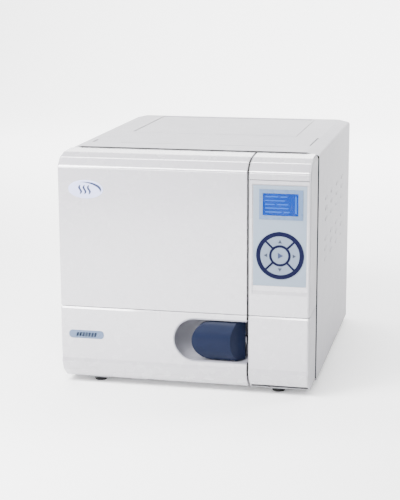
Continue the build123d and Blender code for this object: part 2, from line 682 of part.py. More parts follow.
def fan_grille(y):
    """Ring slots in front of the fan, with four spokes left between them."""
    rings = tube("Y", FAN_X, FAN_Z, FAN_RADIUS, FAN_RADIUS - 7, *y)
    for step in range(1, 4):
        outer = FAN_RADIUS - step * 10
        rings += tube("Y", FAN_X, FAN_Z, outer, outer - 7, *y)
    for angle in (45, 135):
        spoke = Box(2 * FAN_RADIUS + 4, y[1] - y[0] + 2, 4.0)
        rings -= Location((FAN_X, sum(y) / 2, FAN_Z), (0, angle, 0)) * spoke
    return rings


def rear_panel():
    """Rear sheet with the fan grille, the fittings' holes and a block of air slots."""
    y = REAR_PANEL_Y
    cut = (y[0] - 1, y[1] + 1)
    plate = casing_tunnel(COVER_WALL + FIT, y) & block(ALL_X, cut, (BOTTOM_Z + 2, TOP_Z))
    plate -= fan_grille(cut)
    for (x, z), (half_x, half_z) in ((INLET, INLET_HALF), (SWITCH, SWITCH_HALF)):
        plate -= block((x - half_x, x + half_x), cut, (z - half_z, z + half_z))
    plate -= rod("Y", *VALVE, VALVE_RADIUS, *cut)
    plate -= rod("Y", *FILTER, FILTER_RADII[1], *cut)
    plate -= rod("Y", DRAIN_X, DRAIN_Z, DRAIN_RADIUS, *cut)
    for row in range(6):
        for column in range(3):
            x = AIR_SLOT_FIRST[0] + column * AIR_SLOT_PITCH[0]
            z = AIR_SLOT_FIRST[1] + row * AIR_SLOT_PITCH[1]
            half_x, half_z = AIR_SLOT_HALF
            plate -= block((x - half_x, x + half_x), cut, (z - half_z, z + half_z))
    return plate


def column_room(face, x):
    """Inside of one half of the column's outline."""
    inner = offset(face, -FACADE_WALL, kind=Kind.INTERSECTION)
    return prism(inner, (x[0] + FACADE_WALL, x[1] - FACADE_WALL))


def column_housing():
    """Side walls, floor and back flange of the control column."""
    x = (COLUMN_LEFT, COLUMN_RIGHT)
    inner_x = (x[0] + FACADE_WALL, x[1] - FACADE_WALL)
    upper = upper_outline()
    lower = lower_outline()
    housing = facade_solid(upper, x, 1.5, 3.0) + facade_solid(lower, x, 1.5, 3.0)
    housing += block(x, (FRONT_Y + 12, FACADE_BACK_Y), (SEAM_Z - SEAM, SEAM_Z + SEAM))
    housing -= top_rounding(COLUMN_RIGHT, 1)
    room_z = (BOTTOM_Z + 0.5 + FACADE_WALL, FACADE_TOP_Z - 1.2 - FACADE_WALL)
    room = column_room(upper, x) + column_room(lower, x)
    room += block(inner_x, (FRONT_Y + 14, FACADE_BACK_Y + 5), (room_z[0], room_z[1] - 14))
    room += block(inner_x, (FRONT_Y + 50, FACADE_BACK_Y + 5), room_z)
    housing -= room - block((inner_x[1] - 4, x[1]), (FRONT_Y, FACADE_BACK_Y + 6), (FACADE_TOP_Z - 9, TOP_Z))
    housing -= block(PANEL_X, (FRONT_Y - 5, FRONT_Y + 13.9), (BOTTOM_Z, TOP_Z + 1))
    housing -= block(PANEL_X, (FRONT_Y - 5, FACADE_BACK_Y + 1), (TOP_SEAM_Z, TOP_Z + 1))
    rail_y = (FRONT_Y + FACADE_WALL + 1.0, FRONT_Y + 8)
    for rail in ((PANEL_X[0], PANEL_X[0] + 6), (PANEL_X[1] - 6, PANEL_X[1])):
        for z in ((58.0, SEAM_Z - 5), (SEAM_Z + 5, 380.0)):
            housing += block((rail[0] - 1.5, rail[1] + 1.5), rail_y, z)
    spigot_z = (BASE_TOP_Z - 2, FACADE_TOP_Z - 4.2)
    spigot_y = (FACADE_BACK_Y - 10, SHELL_FRONT_Y)
    inside = (spigot_y[0] - 1, spigot_y[1] + 1)
    spigot = block((x[0] + 2, x[1] - 2), spigot_y, spigot_z)
    spigot -= block((x[0] + 5, x[1] - 5), inside, (spigot_z[0] + 5, spigot_z[1] - 3.8))
    housing += spigot
    housing -= block((COLUMN_LEFT - 1, COLUMN_LEFT + 5), STRIKER_Y, HOOK_SLOT_Z)
    return housing - rod("X", LOCK_Y, LOCK_Z, LOCK_RADIUS + 0.4, COLUMN_LEFT - 1, COLUMN_LEFT + 15)


def column_panel(face, y_back, z):
    """One removable front skin of the column, cut from the facade outline between two heights."""
    x = (PANEL_X[0] + PANEL_GAP, PANEL_X[1] - PANEL_GAP)
    skin = prism(face, x) - facade_cavity(face, (x[0] - 5, x[1] + 5))
    return skin & block(x, (LOWER_FRONT_Y - 5, y_back), z)


def column_top_panel():
    return column_panel(upper_outline(), FACADE_BACK_Y, (TOP_SEAM_Z + SEAM / 2, TOP_Z + 1))


def column_lower_panel():
    return column_panel(lower_outline(), PANEL_BACK_Y, (BOTTOM_Z, SEAM_Z))


def recess_room():
    """Shallow recess for the overlay, with a sloped bottom edge."""
    y = (FRONT_Y - 1, FRONT_Y + RECESS_DEPTH)
    x = (OVERLAY_X[0] - 2, OVERLAY_X[1] + 2)
    slope = make_face(Polyline(
        (FRONT_Y, RECESS_Z[0] - RECESS_BEVEL), (y[1], RECESS_Z[0]), (y[0], RECESS_Z[0]),
        (y[0], RECESS_Z[0] - RECESS_BEVEL), close=True,
    ))
    return block(x, y, RECESS_Z) + prism(slope, x)


def control_panel():
    """Middle front skin of the column, with a chamfered top edge and openings for screen and keypad."""
    panel = column_panel(upper_outline(), PANEL_BACK_Y, (SEAM_Z, TOP_SEAM_Z - SEAM / 2))
    top = TOP_SEAM_Z - SEAM / 2
    edge = Location((0, FRONT_Y, top), (45, 0, 0)) * block((100, 240), (-5, 5), (0, 9))
    panel -= Pos(0, 0, -PANEL_CHAMFER / 2) * edge
    panel -= recess_room()
    panel -= block(BEZEL_X, (FRONT_Y - 1, FRONT_Y + 10), BEZEL_Z)
    return panel - rod("Y", KEYPAD_X, KEYPAD_Z, KEYPAD_RADII[0] + FIT, FRONT_Y - 1, FRONT_Y + 10)


def label_overlay():
    """Plain silver sheet in the recess, round the screen and the keypad."""
    back = FRONT_Y + RECESS_DEPTH
    plate = block(OVERLAY_X, (back - OVERLAY_THICKNESS, back), OVERLAY_Z)
    plate -= block(BEZEL_X, (FRONT_Y - 1, FRONT_Y + 10), BEZEL_Z)
    return plate - rod("Y", KEYPAD_X, KEYPAD_Z, KEYPAD_RADII[0] + FIT, FRONT_Y - 1, FRONT_Y + 10)


def display_bezel():
    frame = block(BEZEL_X, (BEZEL_FRONT_Y, SCREEN_BACK_Y), BEZEL_Z)
    return frame - block(SCREEN_X, (FRONT_Y - 1, FRONT_Y + 5), SCREEN_Z)


def display_window():
    return block(SCREEN_X, (BEZEL_FRONT_Y + 0.4, BEZEL_FRONT_Y + 1.2), SCREEN_Z)


def lcd_module():
    """Screen glass inside the bezel, on a wider back frame."""
    glass = block(SCREEN_X, (BEZEL_FRONT_Y + 1.6, SCREEN_BACK_Y), SCREEN_Z)
    return glass + block(BEZEL_X, (SCREEN_BACK_Y, SCREEN_BACK_Y + 5), BEZEL_Z)


def spoke_cross(width, radius, y):
    """Two crossed bars on the keypad's diagonals."""
    cross = []
    for angle in (45, -45):
        bar = Box(2 * radius, y[1] - y[0], width)
        cross.append(Location((KEYPAD_X, (y[0] + y[1]) / 2, KEYPAD_Z), (0, angle, 0)) * bar)
    return cross[0] + cross[1]


def keypad_ring():
    """Outer ring, four spokes and the ring round the start key, in one moulding."""
    y = (RING_FRONT_Y, FRONT_Y + 3.5)
    ring = tube("Y", KEYPAD_X, KEYPAD_Z, *KEYPAD_RADII, *y)
    ring += spoke_cross(SPOKE_WIDTH, KEYPAD_RADII[1] + 2, y)
    ring -= rod("Y", KEYPAD_X, KEYPAD_Z, START_RADII[0] - 1, y[0] - 1, y[1] + 1)
    return ring + tube("Y", KEYPAD_X, KEYPAD_Z, *START_RADII, *y)


def arrow_keys():
    """The four arc keys between the spokes, as name and solid."""
    y = (KEY_FRONT_Y, KEY_BACK_Y)
    outer = KEYPAD_RADII[1] - KEY_GAP
    inner = START_RADII[0] + KEY_GAP
    keys = tube("Y", KEYPAD_X, KEYPAD_Z, outer, inner, *y)
    keys -= spoke_cross(SPOKE_WIDTH + 2 * KEY_GAP, KEYPAD_RADII[0], (y[0] - 1, y[1] + 1))
    by_height = keys.solids().sort_by(Axis.Z)
    by_side = keys.solids().sort_by(Axis.X)
    return {
        "key_up": by_height[-1],
        "key_down": by_height[0],
        "key_left": by_side[0],
        "key_right": by_side[-1],
    }


def start_key():
    return rod("Y", KEYPAD_X, KEYPAD_Z, START_RADII[1] - KEY_GAP, KEY_FRONT_Y, KEY_BACK_Y)


def control_board():
    """Circuit board behind the keys, with one switch behind each."""
    board_y = (FRONT_Y + 9.2, FRONT_Y + 10.8)
    board = block((127.0, 213.0), board_y, (196.0, 378.0))
    reach = (KEYPAD_RADII[1] + START_RADII[0]) / 2
    for dx, dz in ((0, 0), (reach, 0), (-reach, 0), (0, reach), (0, -reach)):
        board += rod("Y", KEYPAD_X + dx, KEYPAD_Z + dz, 3.0, KEY_BACK_Y + KEY_TRAVEL + 0.2, board_y[1])
    chips = ((150.0, 305.0, 16.0, 8.0), (195.0, 300.0, 10.0, 10.0), (160.0, 206.0, 24.0, 9.0))
    for x, z, width, height in chips:
        board += block((x, x + width), (board_y[0], board_y[1] + 5), (z, z + height))
    return board


def lock_solenoid():
    body = block((COLUMN_LEFT + 3, 166.0), (LOCK_Y - 12, LOCK_Y + 12), (LOCK_Z - 12, LOCK_Z + 12))
    return body - rod("X", LOCK_Y, LOCK_Z, LOCK_RADIUS + RUNNING_GAP, COLUMN_LEFT, 162.0)


def lock_bolt():
    return rod("X", LOCK_Y, LOCK_Z, LOCK_RADIUS, COLUMN_LEFT + 0.6, 160.0)


def chamber_vessel():
    """Stainless pressure vessel: stepped flange, barrel and dished rear head with one port."""
    inner = CHAMBER_RADIUS
    outer = inner + CHAMBER_WALL
    front = FLANGE_FACE_Y
    step = SHELL_FRONT_Y + SHEET
    end = front + CHAMBER_LENGTH
    flange_back = step + FLANGE_THICKNESS
    head_y = end - HEAD_DEPTH
    bowl_y = head_y - 2.0
    sides = Polyline(
        (inner, bowl_y), (inner, front), (FLANGE_BOSS_RADIUS, front), (FLANGE_BOSS_RADIUS, step),
        (FLANGE_RADIUS, step), (FLANGE_RADIUS, flange_back), (outer, flange_back), (outer, head_y),
    )
    head = ThreePointArc((outer, head_y), (outer * 0.62, end - 3), (0, end))
    centre = Line((0, end), (0, end - CHAMBER_WALL))
    bowl = ThreePointArc((0, end - CHAMBER_WALL), (inner * 0.62, end - 3 - CHAMBER_WALL), (inner, bowl_y))
    profile = make_face([sides, head, centre, bowl])
    vessel = Pos(CHAMBER_X, 0, CHAMBER_Z) * revolve(profile, Axis.Y)
    vessel += rod("Y", CHAMBER_X, CHAMBER_Z, PORT_RADIUS, end - 1, end + PORT_LENGTH)
    for x, z in bolt_places():
        vessel -= rod("Y", x, z, BOLT_RADIUS + 0.1, SHELL_FRONT_Y, step + FLANGE_THICKNESS + 2)
    return vessel


def bolt_places():
    """Centres of the flange bolts, in X and Z."""
    turn = 360.0 / BOLT_COUNT
    places = [Vector(BOLT_CIRCLE, 0).rotate(Axis.Z, turn * (index + 0.5)) for index in range(BOLT_COUNT)]
    return [(CHAMBER_X + place.X, CHAMBER_Z + place.Y) for place in places]


def flange_bolts():
    bolts = []
    for x, z in bolt_places():
        bolt = rod("Y", x, z, BOLT_RADIUS, SHELL_FRONT_Y, SHELL_FRONT_Y + SHEET + FLANGE_THICKNESS)
        bolts.append(bolt + hexagon("Y", x, z, 5.0, SHELL_FRONT_Y - 3, SHELL_FRONT_Y))
    return bolts


def insulation_jacket():
    """Lagging round the barrel and over its rear head."""
    inner = CHAMBER_RADIUS + CHAMBER_WALL + 2.0
    step = SHELL_FRONT_Y + SHEET + FLANGE_THICKNESS
    end = FLANGE_FACE_Y + CHAMBER_LENGTH + 2
    jacket = tube("Y", CHAMBER_X, CHAMBER_Z, JACKET_RADIUS, inner, step, end)
    return jacket + tube("Y", CHAMBER_X, CHAMBER_Z, JACKET_RADIUS, PORT_RADIUS + 0.5, end, end + JACKET_END)


def tray_rack():
    """Wire and sheet frame that carries the trays and stands on the bottom of the chamber."""
    pieces = []
    for side in (-1, 1):
        plate = sorted((CHAMBER_X + side * RACK_X, CHAMBER_X + side * (RACK_X + 1.5)))
        pieces.append(block(plate, TRAY_Y, (CHAMBER_Z + RACK_PLATE[0], CHAMBER_Z + RACK_PLATE[1])))
        for level in TRAY_LEVELS:
            ledge = sorted((CHAMBER_X + side * RACK_FOOT_X, CHAMBER_X + side * (RACK_X + 1)))
            pieces.append(block(ledge, TRAY_Y, (CHAMBER_Z + level - 1.4, CHAMBER_Z + level - 0.2)))
        foot = sorted((CHAMBER_X + side * (RACK_FOOT_X - 2), CHAMBER_X + side * (RACK_FOOT_X + 2)))
        arm = sorted((CHAMBER_X + side * (RACK_FOOT_X - 2), CHAMBER_X + side * (RACK_X + 1)))
        for y in (TRAY_Y[0] + 5, TRAY_Y[1] - 10):
            pieces.append(block(foot, (y, y + 5), (CHAMBER_Z + RACK_BOTTOM, CHAMBER_Z - 72)))
            pieces.append(block(arm, (y, y + 5), (CHAMBER_Z - 74, CHAMBER_Z - 71)))
        pieces.append(rod("Y", CHAMBER_X + side * RACK_FOOT_X, CHAMBER_Z + RACK_BOTTOM, 3.0, *TRAY_Y))
    for y in (TRAY_Y[0] + 7.5, TRAY_Y[1] - 7.5):
        pieces.append(rod("X", y, CHAMBER_Z - 72.5, RACK_WIRE_RADIUS, CHAMBER_X - RACK_X, CHAMBER_X + RACK_X))
        pieces.append(rod("X", y, CHAMBER_Z + 67.5, RACK_WIRE_RADIUS, CHAMBER_X - RACK_X, CHAMBER_X + RACK_X))
    rack = pieces[0]
    for piece in pieces[1:]:
        rack += piece
    return rack


def instrument_tray(level):
    """Shallow tray with a slotted floor, on one pair of ledges."""
    bottom = CHAMBER_Z + level
    x = (CHAMBER_X - TRAY_HALF_WIDTH, CHAMBER_X + TRAY_HALF_WIDTH)
    tray = block(x, TRAY_Y, (bottom, bottom + TRAY_HEIGHT))
    tray = fillet(tray.edges().filter_by(Axis.Z), TRAY_CORNER)
    room = block(
        (x[0] + TRAY_WALL, x[1] - TRAY_WALL),
        (TRAY_Y[0] + TRAY_WALL, TRAY_Y[1] - TRAY_WALL),
        (bottom + TRAY_WALL, bottom + TRAY_HEIGHT + 1),
    )
    tray -= fillet(room.edges().filter_by(Axis.Z), TRAY_CORNER - TRAY_WALL)
    for column in (-1, 0, 1):
        for row in range(6):
            y = TRAY_Y[0] + 40.0 + row * TRAY_SLOT_PITCH[1]
            slot = extrude(SlotOverall(*TRAY_SLOT), amount=4, both=True)
            tray -= Location((CHAMBER_X + column * TRAY_SLOT_PITCH[0], y, bottom)) * slot
    return tray


def steam_generator():
    """Upright boiler with domed edges, a foot ring and a steam outlet on top."""
    boiler = rod("Z", *BOILER, BOILER_RADIUS, BASE_TOP_Z + 8, BOILER_TOP_Z)
    boiler = fillet(boiler.edges(), 5.0)
    boiler += rod("Z", *BOILER, 28.0, BASE_TOP_Z, BASE_TOP_Z + 9)
    return boiler + rod("Z", *BOILER, 7.0, BOILER_TOP_Z - 1, BOILER_TOP_Z + 15)


def vacuum_pump():
    """Motor and pump head on one foot plate."""
    pump = block((110.0, 210.0), (62.0, 192.0), (BASE_TOP_Z, BASE_TOP_Z + 6))
    pump += rod("Y", *PUMP, PUMP_RADIUS, 66.0, 150.0)
    pump += block((140.0, 180.0), (80.0, 140.0), (BASE_TOP_Z + 5, 40.0))
    return pump + block((126.0, 194.0), (149.0, 188.0), (BASE_TOP_Z + 5, 124.0))


def main_board():
    """Control electronics on four posts, on the inside of the cover's right wall."""
    board = block((213.0, 214.6), (-185.0, -90.0), (180.0, 340.0))
    for y in (-180.0, -95.0):
        for z in (185.0, 335.0):
            board += rod("X", y, z, 3.0, 214.0, INNER_X)
    for index in range(4):
        board += block((198.0, 213.5), (-178.0, -160.0), (196.0 + index * 32, 218.0 + index * 32))
    return board + block((209.0, 213.5), (-135.0, -105.0), (240.0, 270.0))


def condenser():
    """Finned coil block on two side plates that stand on the base."""
    x = (FAN_X - 58.0, FAN_X + 58.0)
    z = (FAN_Z - 58.0, FAN_Z + 58.0)
    block_y = (205.0, 236.0)
    core = block((x[0], x[0] + 2), block_y, (BASE_TOP_Z, z[1]))
    core += block((x[1] - 2, x[1]), block_y, (BASE_TOP_Z, z[1]))
    for row in range(5):
        height = z[0] + 14.0 + row * 22.0
        core += rod("X", sum(block_y) / 2, height, 5.0, x[0], x[1])
    for fin in range(13):
        place = x[0] + 10.0 + fin * 8.0
        core += block((place, place + 1), block_y, z)
    return core


def fan_frame():
    """Square fan housing with three struts that hold the rotor's shaft."""
    y = (241.0, REAR_PANEL_Y[0])
    half = FAN_HALF
    frame = block((FAN_X - half, FAN_X + half), y, (FAN_Z - half, FAN_Z + half))
    frame -= rod("Y", FAN_X, FAN_Z, FAN_BORE, y[0] - 1, y[1] + 1)
    frame += rod("Y", FAN_X, FAN_Z, 18.0, y[1] - 5, y[1])
    for angle in (90, 210, 330):
        strut = Location((FAN_X, y[1] - 2.5, FAN_Z), (0, angle, 0)) * Pos(37.0, 0, 0) * Box(42.0, 5.0, 5.0)
        frame += strut
    return frame + rod("Y", FAN_X, FAN_Z, FAN_SHAFT_RADIUS, y[0] + 3, y[1] - 4)


def fan_rotor():
    """Bladed rotor that runs on the frame's shaft."""
    y = (243.0, 258.0)
    rotor = rod("Y", FAN_X, FAN_Z, 20.0, *y)
    for index in range(FAN_BLADES):
        blade = Pos(36.0, 0, 0) * Rot(28, 0, 0) * Box(36.0, 1.6, 22.0)
        turn = Location((FAN_X, (y[0] + y[1]) / 2, FAN_Z), (0, index * 360.0 / FAN_BLADES, 0))
        rotor += turn * blade
    rotor &= rod("Y", FAN_X, FAN_Z, FAN_RADIUS, *y)
    return rotor - rod("Y", FAN_X, FAN_Z, FAN_SHAFT_RADIUS + RUNNING_GAP, y[0] - 1, y[1] + 1)


def air_filter():
    """Bacteria filter behind the panel, with its cap outside."""
    body = rod("Y", *FILTER, FILTER_RADII[0], 226.0, REAR_PANEL_Y[0])
    return body + rod("Y", *FILTER, FILTER_RADII[1] - FIT, REAR_PANEL_Y[0] - 1, 276.0)


def safety_valve():
    """Valve body through the rear panel, with a hexagon outside."""
    body = rod("Y", *VALVE, VALVE_RADIUS - FIT, 240.0, 272.0)
    body += hexagon("Y", *VALVE, 14.0, REAR_PANEL_Y[1], 271.0)
    return body - rod("Y", *VALVE, STEM_RADIUS + RUNNING_GAP, 250.0, 273.0)


def safety_valve_stem():
    """Pull stem with a round knob."""
    return rod("Y", *VALVE, STEM_RADIUS, 252.0, 276.0) + rod("Y", *VALVE, 8.0, 275.0, 279.5)


def drain_valve():
    """Outlet with a hose barb at the back and a bore on top for the lever's stem."""
    body = rod("Y", DRAIN_X, DRAIN_Z, DRAIN_RADIUS - FIT, 248.0, DRAIN_END_Y)
    body += rod("Y", DRAIN_X, DRAIN_Z, BARB_RADIUS, DRAIN_END_Y - 1, REAR_Y + REAR_PROUD)
    body += rod("Z", DRAIN_X, DRAIN_LEVER_Y, 4.1, DRAIN_Z, DRAIN_Z + 13)
    return body - rod("Z", DRAIN_X, DRAIN_LEVER_Y, LEVER_STEM_RADIUS + RUNNING_GAP, DRAIN_Z + 5, DRAIN_Z + 14)


def drain_lever():
    """Quarter-turn lever on its stem, round at the hub."""
    stem = rod("Z", DRAIN_X, DRAIN_LEVER_Y, LEVER_STEM_RADIUS, DRAIN_Z + 6, DRAIN_Z + 15)
    arm_z = (DRAIN_Z + 13.5, DRAIN_Z + 17)
    stem += rod("Z", DRAIN_X, DRAIN_LEVER_Y, LEVER_HUB_RADIUS, *arm_z)
    arm_y = (DRAIN_LEVER_Y - LEVER_HUB_RADIUS, DRAIN_LEVER_Y + LEVER_HUB_RADIUS)
    return stem + block((DRAIN_X, DRAIN_X + LEVER_LENGTH), arm_y, arm_z)


def power_inlet():
    """Three-pin appliance inlet; the cord is not part of the machine."""
    x, z = INLET
    half_x, half_z = INLET_HALF
    rim_y = (REAR_PANEL_Y[1], REAR_PANEL_Y[1] + FLANGE_RIM)
    body = block((x - half_x, x + half_x), (245.0, REAR_PANEL_Y[1]), (z - half_z, z + half_z))
    body += block((x - half_x - 4, x + half_x + 4), rim_y, (z - half_z - 3, z + half_z + 3))
    body -= block((x - 12.3, x + 12.3), (251.0, 271.0), (z - 8.5, z + 8.5))
    for dx in (-7.0, 0.0, 7.0):
        body += block((x + dx - 1, x + dx + 1), (250.0, 265.0), (z - 2, z + 2))
    return body


def power_switch():
    """Frame of the mains switch, bored for the rocker's trunnions."""
    x, z = SWITCH
    half_x, half_z = SWITCH_HALF
    rim_y = (REAR_PANEL_Y[1], REAR_PANEL_Y[1] + FLANGE_RIM)
    frame = block((x - half_x, x + half_x), (248.0, REAR_PANEL_Y[1]), (z - half_z, z + half_z))
    frame += block((x - half_x - 2.5, x + half_x + 2.5), rim_y, (z - half_z - 3, z + half_z + 3))
    frame -= block((x - 8, x + 8), (250.0, 271.0), (z - 11, z + 11))
    for start in (x - 9, x + 7):
        frame -= rod("X", ROCKER_Y, z, TRUNNION_RADIUS + RUNNING_GAP, start, start + 2)
    return frame


def power_rocker():
    """Rocker on two trunnions, resting tilted to off."""
    x, z = SWITCH
    rocker = rod("X", 0, 0, 10.6, -7.6, 7.6) & block((-8, 8), (-6, 8.2), (-11, 11))
    rocker += rod("X", 0, 0, TRUNNION_RADIUS, -8.8, 8.8)
    return Location((x, ROCKER_Y, z), (-ROCKER_TILT, 0, 0)) * rocker


def bent_pipe(points, radius, bend):
    """Pipe of one radius along straight runs joined by arcs."""
    path = FilletPolyline(*points, radius=bend)
    start = Plane(origin=path @ 0, z_dir=path % 0)
    return sweep(start * Circle(radius), path=path)


def steam_pipes():
    """Steam line from the boiler to the chamber's port, and feed line from the tank to the boiler."""
    back = FLANGE_FACE_Y + CHAMBER_LENGTH + PORT_LENGTH
    x, y = BOILER
    over = BOILER_TOP_Z + 40
    steam = [
        (CHAMBER_X, back, CHAMBER_Z), (CHAMBER_X, back + 16, CHAMBER_Z), (60.0, back + 16, over + 10),
        (x, 150.0, over), (x, y, over), (x, y, BOILER_TOP_Z + 15),
    ]
    feed = [
        (80.0, 205.0, TANK_SUMP_Z), (80.0, 205.0, FEED_Z), (80.0, y, FEED_Z), (x - BOILER_RADIUS, y, FEED_Z),
    ]
    return [bent_pipe(steam, 4.0, 10.0), bent_pipe(feed, 5.0, 12.0)]


def assembly():
    """Every piece by node name; a list is a group of identical or paired solids in one node."""
    nodes = {
        "base_plate": base_plate(),
        "rubber_feet": rubber_feet(),
        "rear_panel": rear_panel(),
        "front_bulkhead": front_bulkhead(),
        "outer_cover": outer_cover(),
        "column_housing": column_housing(),
        "column_top_panel": column_top_panel(),
        "control_panel": control_panel(),
        "column_lower_panel": column_lower_panel(),
        "label_overlay": label_overlay(),
        "display_bezel": display_bezel(),
        "display_window": display_window(),
        "lcd_module": lcd_module(),
        "keypad_ring": keypad_ring(),
        "key_start": start_key(),
        "control_board": control_board(),
        "lock_solenoid": lock_solenoid(),
        "lock_bolt": lock_bolt(),
        "hinge_bracket": hinge_bracket(),
        "hinge_pin": hinge_pin(),
        "door_upper_cover": door_upper_cover(),
        "door_lower_cover": door_lower_cover(),
        "door_badges": door_badges(),
        "handle_pocket": handle_pocket(),
        "door_back_plate": door_back_plate(),
        "door_yoke": door_yoke(),
        "pressure_disc": pressure_disc(),
        "door_gasket": door_gasket(),
        "disc_nut": disc_nut(),
        "handle_pin": handle_pin(),
        "door_handle": door_handle(),
        "latch_hook": latch_hook(),
        "chamber_vessel": chamber_vessel(),
        "flange_bolts": flange_bolts(),
        "insulation_jacket": insulation_jacket(),
        "tray_rack": tray_rack(),
        "water_tank": water_tank(),
        "tank_lid": tank_lid(),
        "steam_generator": steam_generator(),
        "vacuum_pump": vacuum_pump(),
        "main_board": main_board(),
        "condenser": condenser(),
        "fan_frame": fan_frame(),
        "fan_rotor": fan_rotor(),
        "air_filter": air_filter(),
        "safety_valve": safety_valve(),
        "safety_valve_stem": safety_valve_stem(),
        "drain_valve": drain_valve(),
        "drain_lever": drain_lever(),
        "power_inlet": power_inlet(),
        "power_switch": power_switch(),
        "power_rocker": power_rocker(),
        "steam_pipes": steam_pipes(),
    }
    nodes.update(arrow_keys())
    for index, level in enumerate(TRAY_LEVELS, start=1):
        nodes[f"tray_{index}"] = instrument_tray(level)
    return nodes


def main():
    os.makedirs("parts", exist_ok=True)
    for name, shape in assembly().items():
        if isinstance(shape, list):
            shape = Compound(children=shape)
        export_step(shape, f"parts/{name}.step")


main()
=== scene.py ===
"""Looks of the benchtop autoclave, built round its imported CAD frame. Lengths are metres."""
import math

import bmesh
import bpy
from mathutils import Euler, Matrix, Vector


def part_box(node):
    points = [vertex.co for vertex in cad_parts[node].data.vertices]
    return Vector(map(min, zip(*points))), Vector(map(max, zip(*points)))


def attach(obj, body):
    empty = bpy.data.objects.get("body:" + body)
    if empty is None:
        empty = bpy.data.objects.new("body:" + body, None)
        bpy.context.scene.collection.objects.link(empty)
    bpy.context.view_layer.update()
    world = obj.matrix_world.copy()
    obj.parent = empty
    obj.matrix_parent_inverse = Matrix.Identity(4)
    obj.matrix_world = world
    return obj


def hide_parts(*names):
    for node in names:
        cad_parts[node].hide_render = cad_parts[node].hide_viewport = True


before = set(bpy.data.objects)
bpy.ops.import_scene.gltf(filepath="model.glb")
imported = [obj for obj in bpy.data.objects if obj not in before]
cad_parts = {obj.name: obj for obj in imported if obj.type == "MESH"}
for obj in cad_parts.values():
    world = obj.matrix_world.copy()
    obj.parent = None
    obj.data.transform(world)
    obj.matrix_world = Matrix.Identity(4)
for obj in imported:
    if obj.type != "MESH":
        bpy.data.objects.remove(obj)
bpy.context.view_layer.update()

MM = 0.001
FLOOR_GLOW = 0.2
KEY_WATTS = 50.0
STRIP_WATTS = 125.0
SIDE_WATTS = 18.0
LOW_STRIP_WATTS = 22.0
TABLE_WATTS = 14.0
BACKDROP_WATTS = 700.0
WORLD_STRENGTH = 0.08
CAMERA_PLACE = (0.53891, -2.54233, 0.78004)
CAMERA_YAW = 0.2202
CAMERA_PITCH = 0.2201
CAMERA_ROLL = -0.0042
CAMERA_LENS = 98.607

# Sizes shared with the CAD pieces, in millimetres
OVAL_RADII = (32.0, 16.5)
BAR_HALF = (32.5, 7.5)
BADGE_STEP = 4.5
FOOT_RADIUS = 13.0
BOLT_CIRCLE = 144.0
BOLT_COUNT = 8
STRAP_COUNT = 4


# ---------------------------------------------------------------- materials

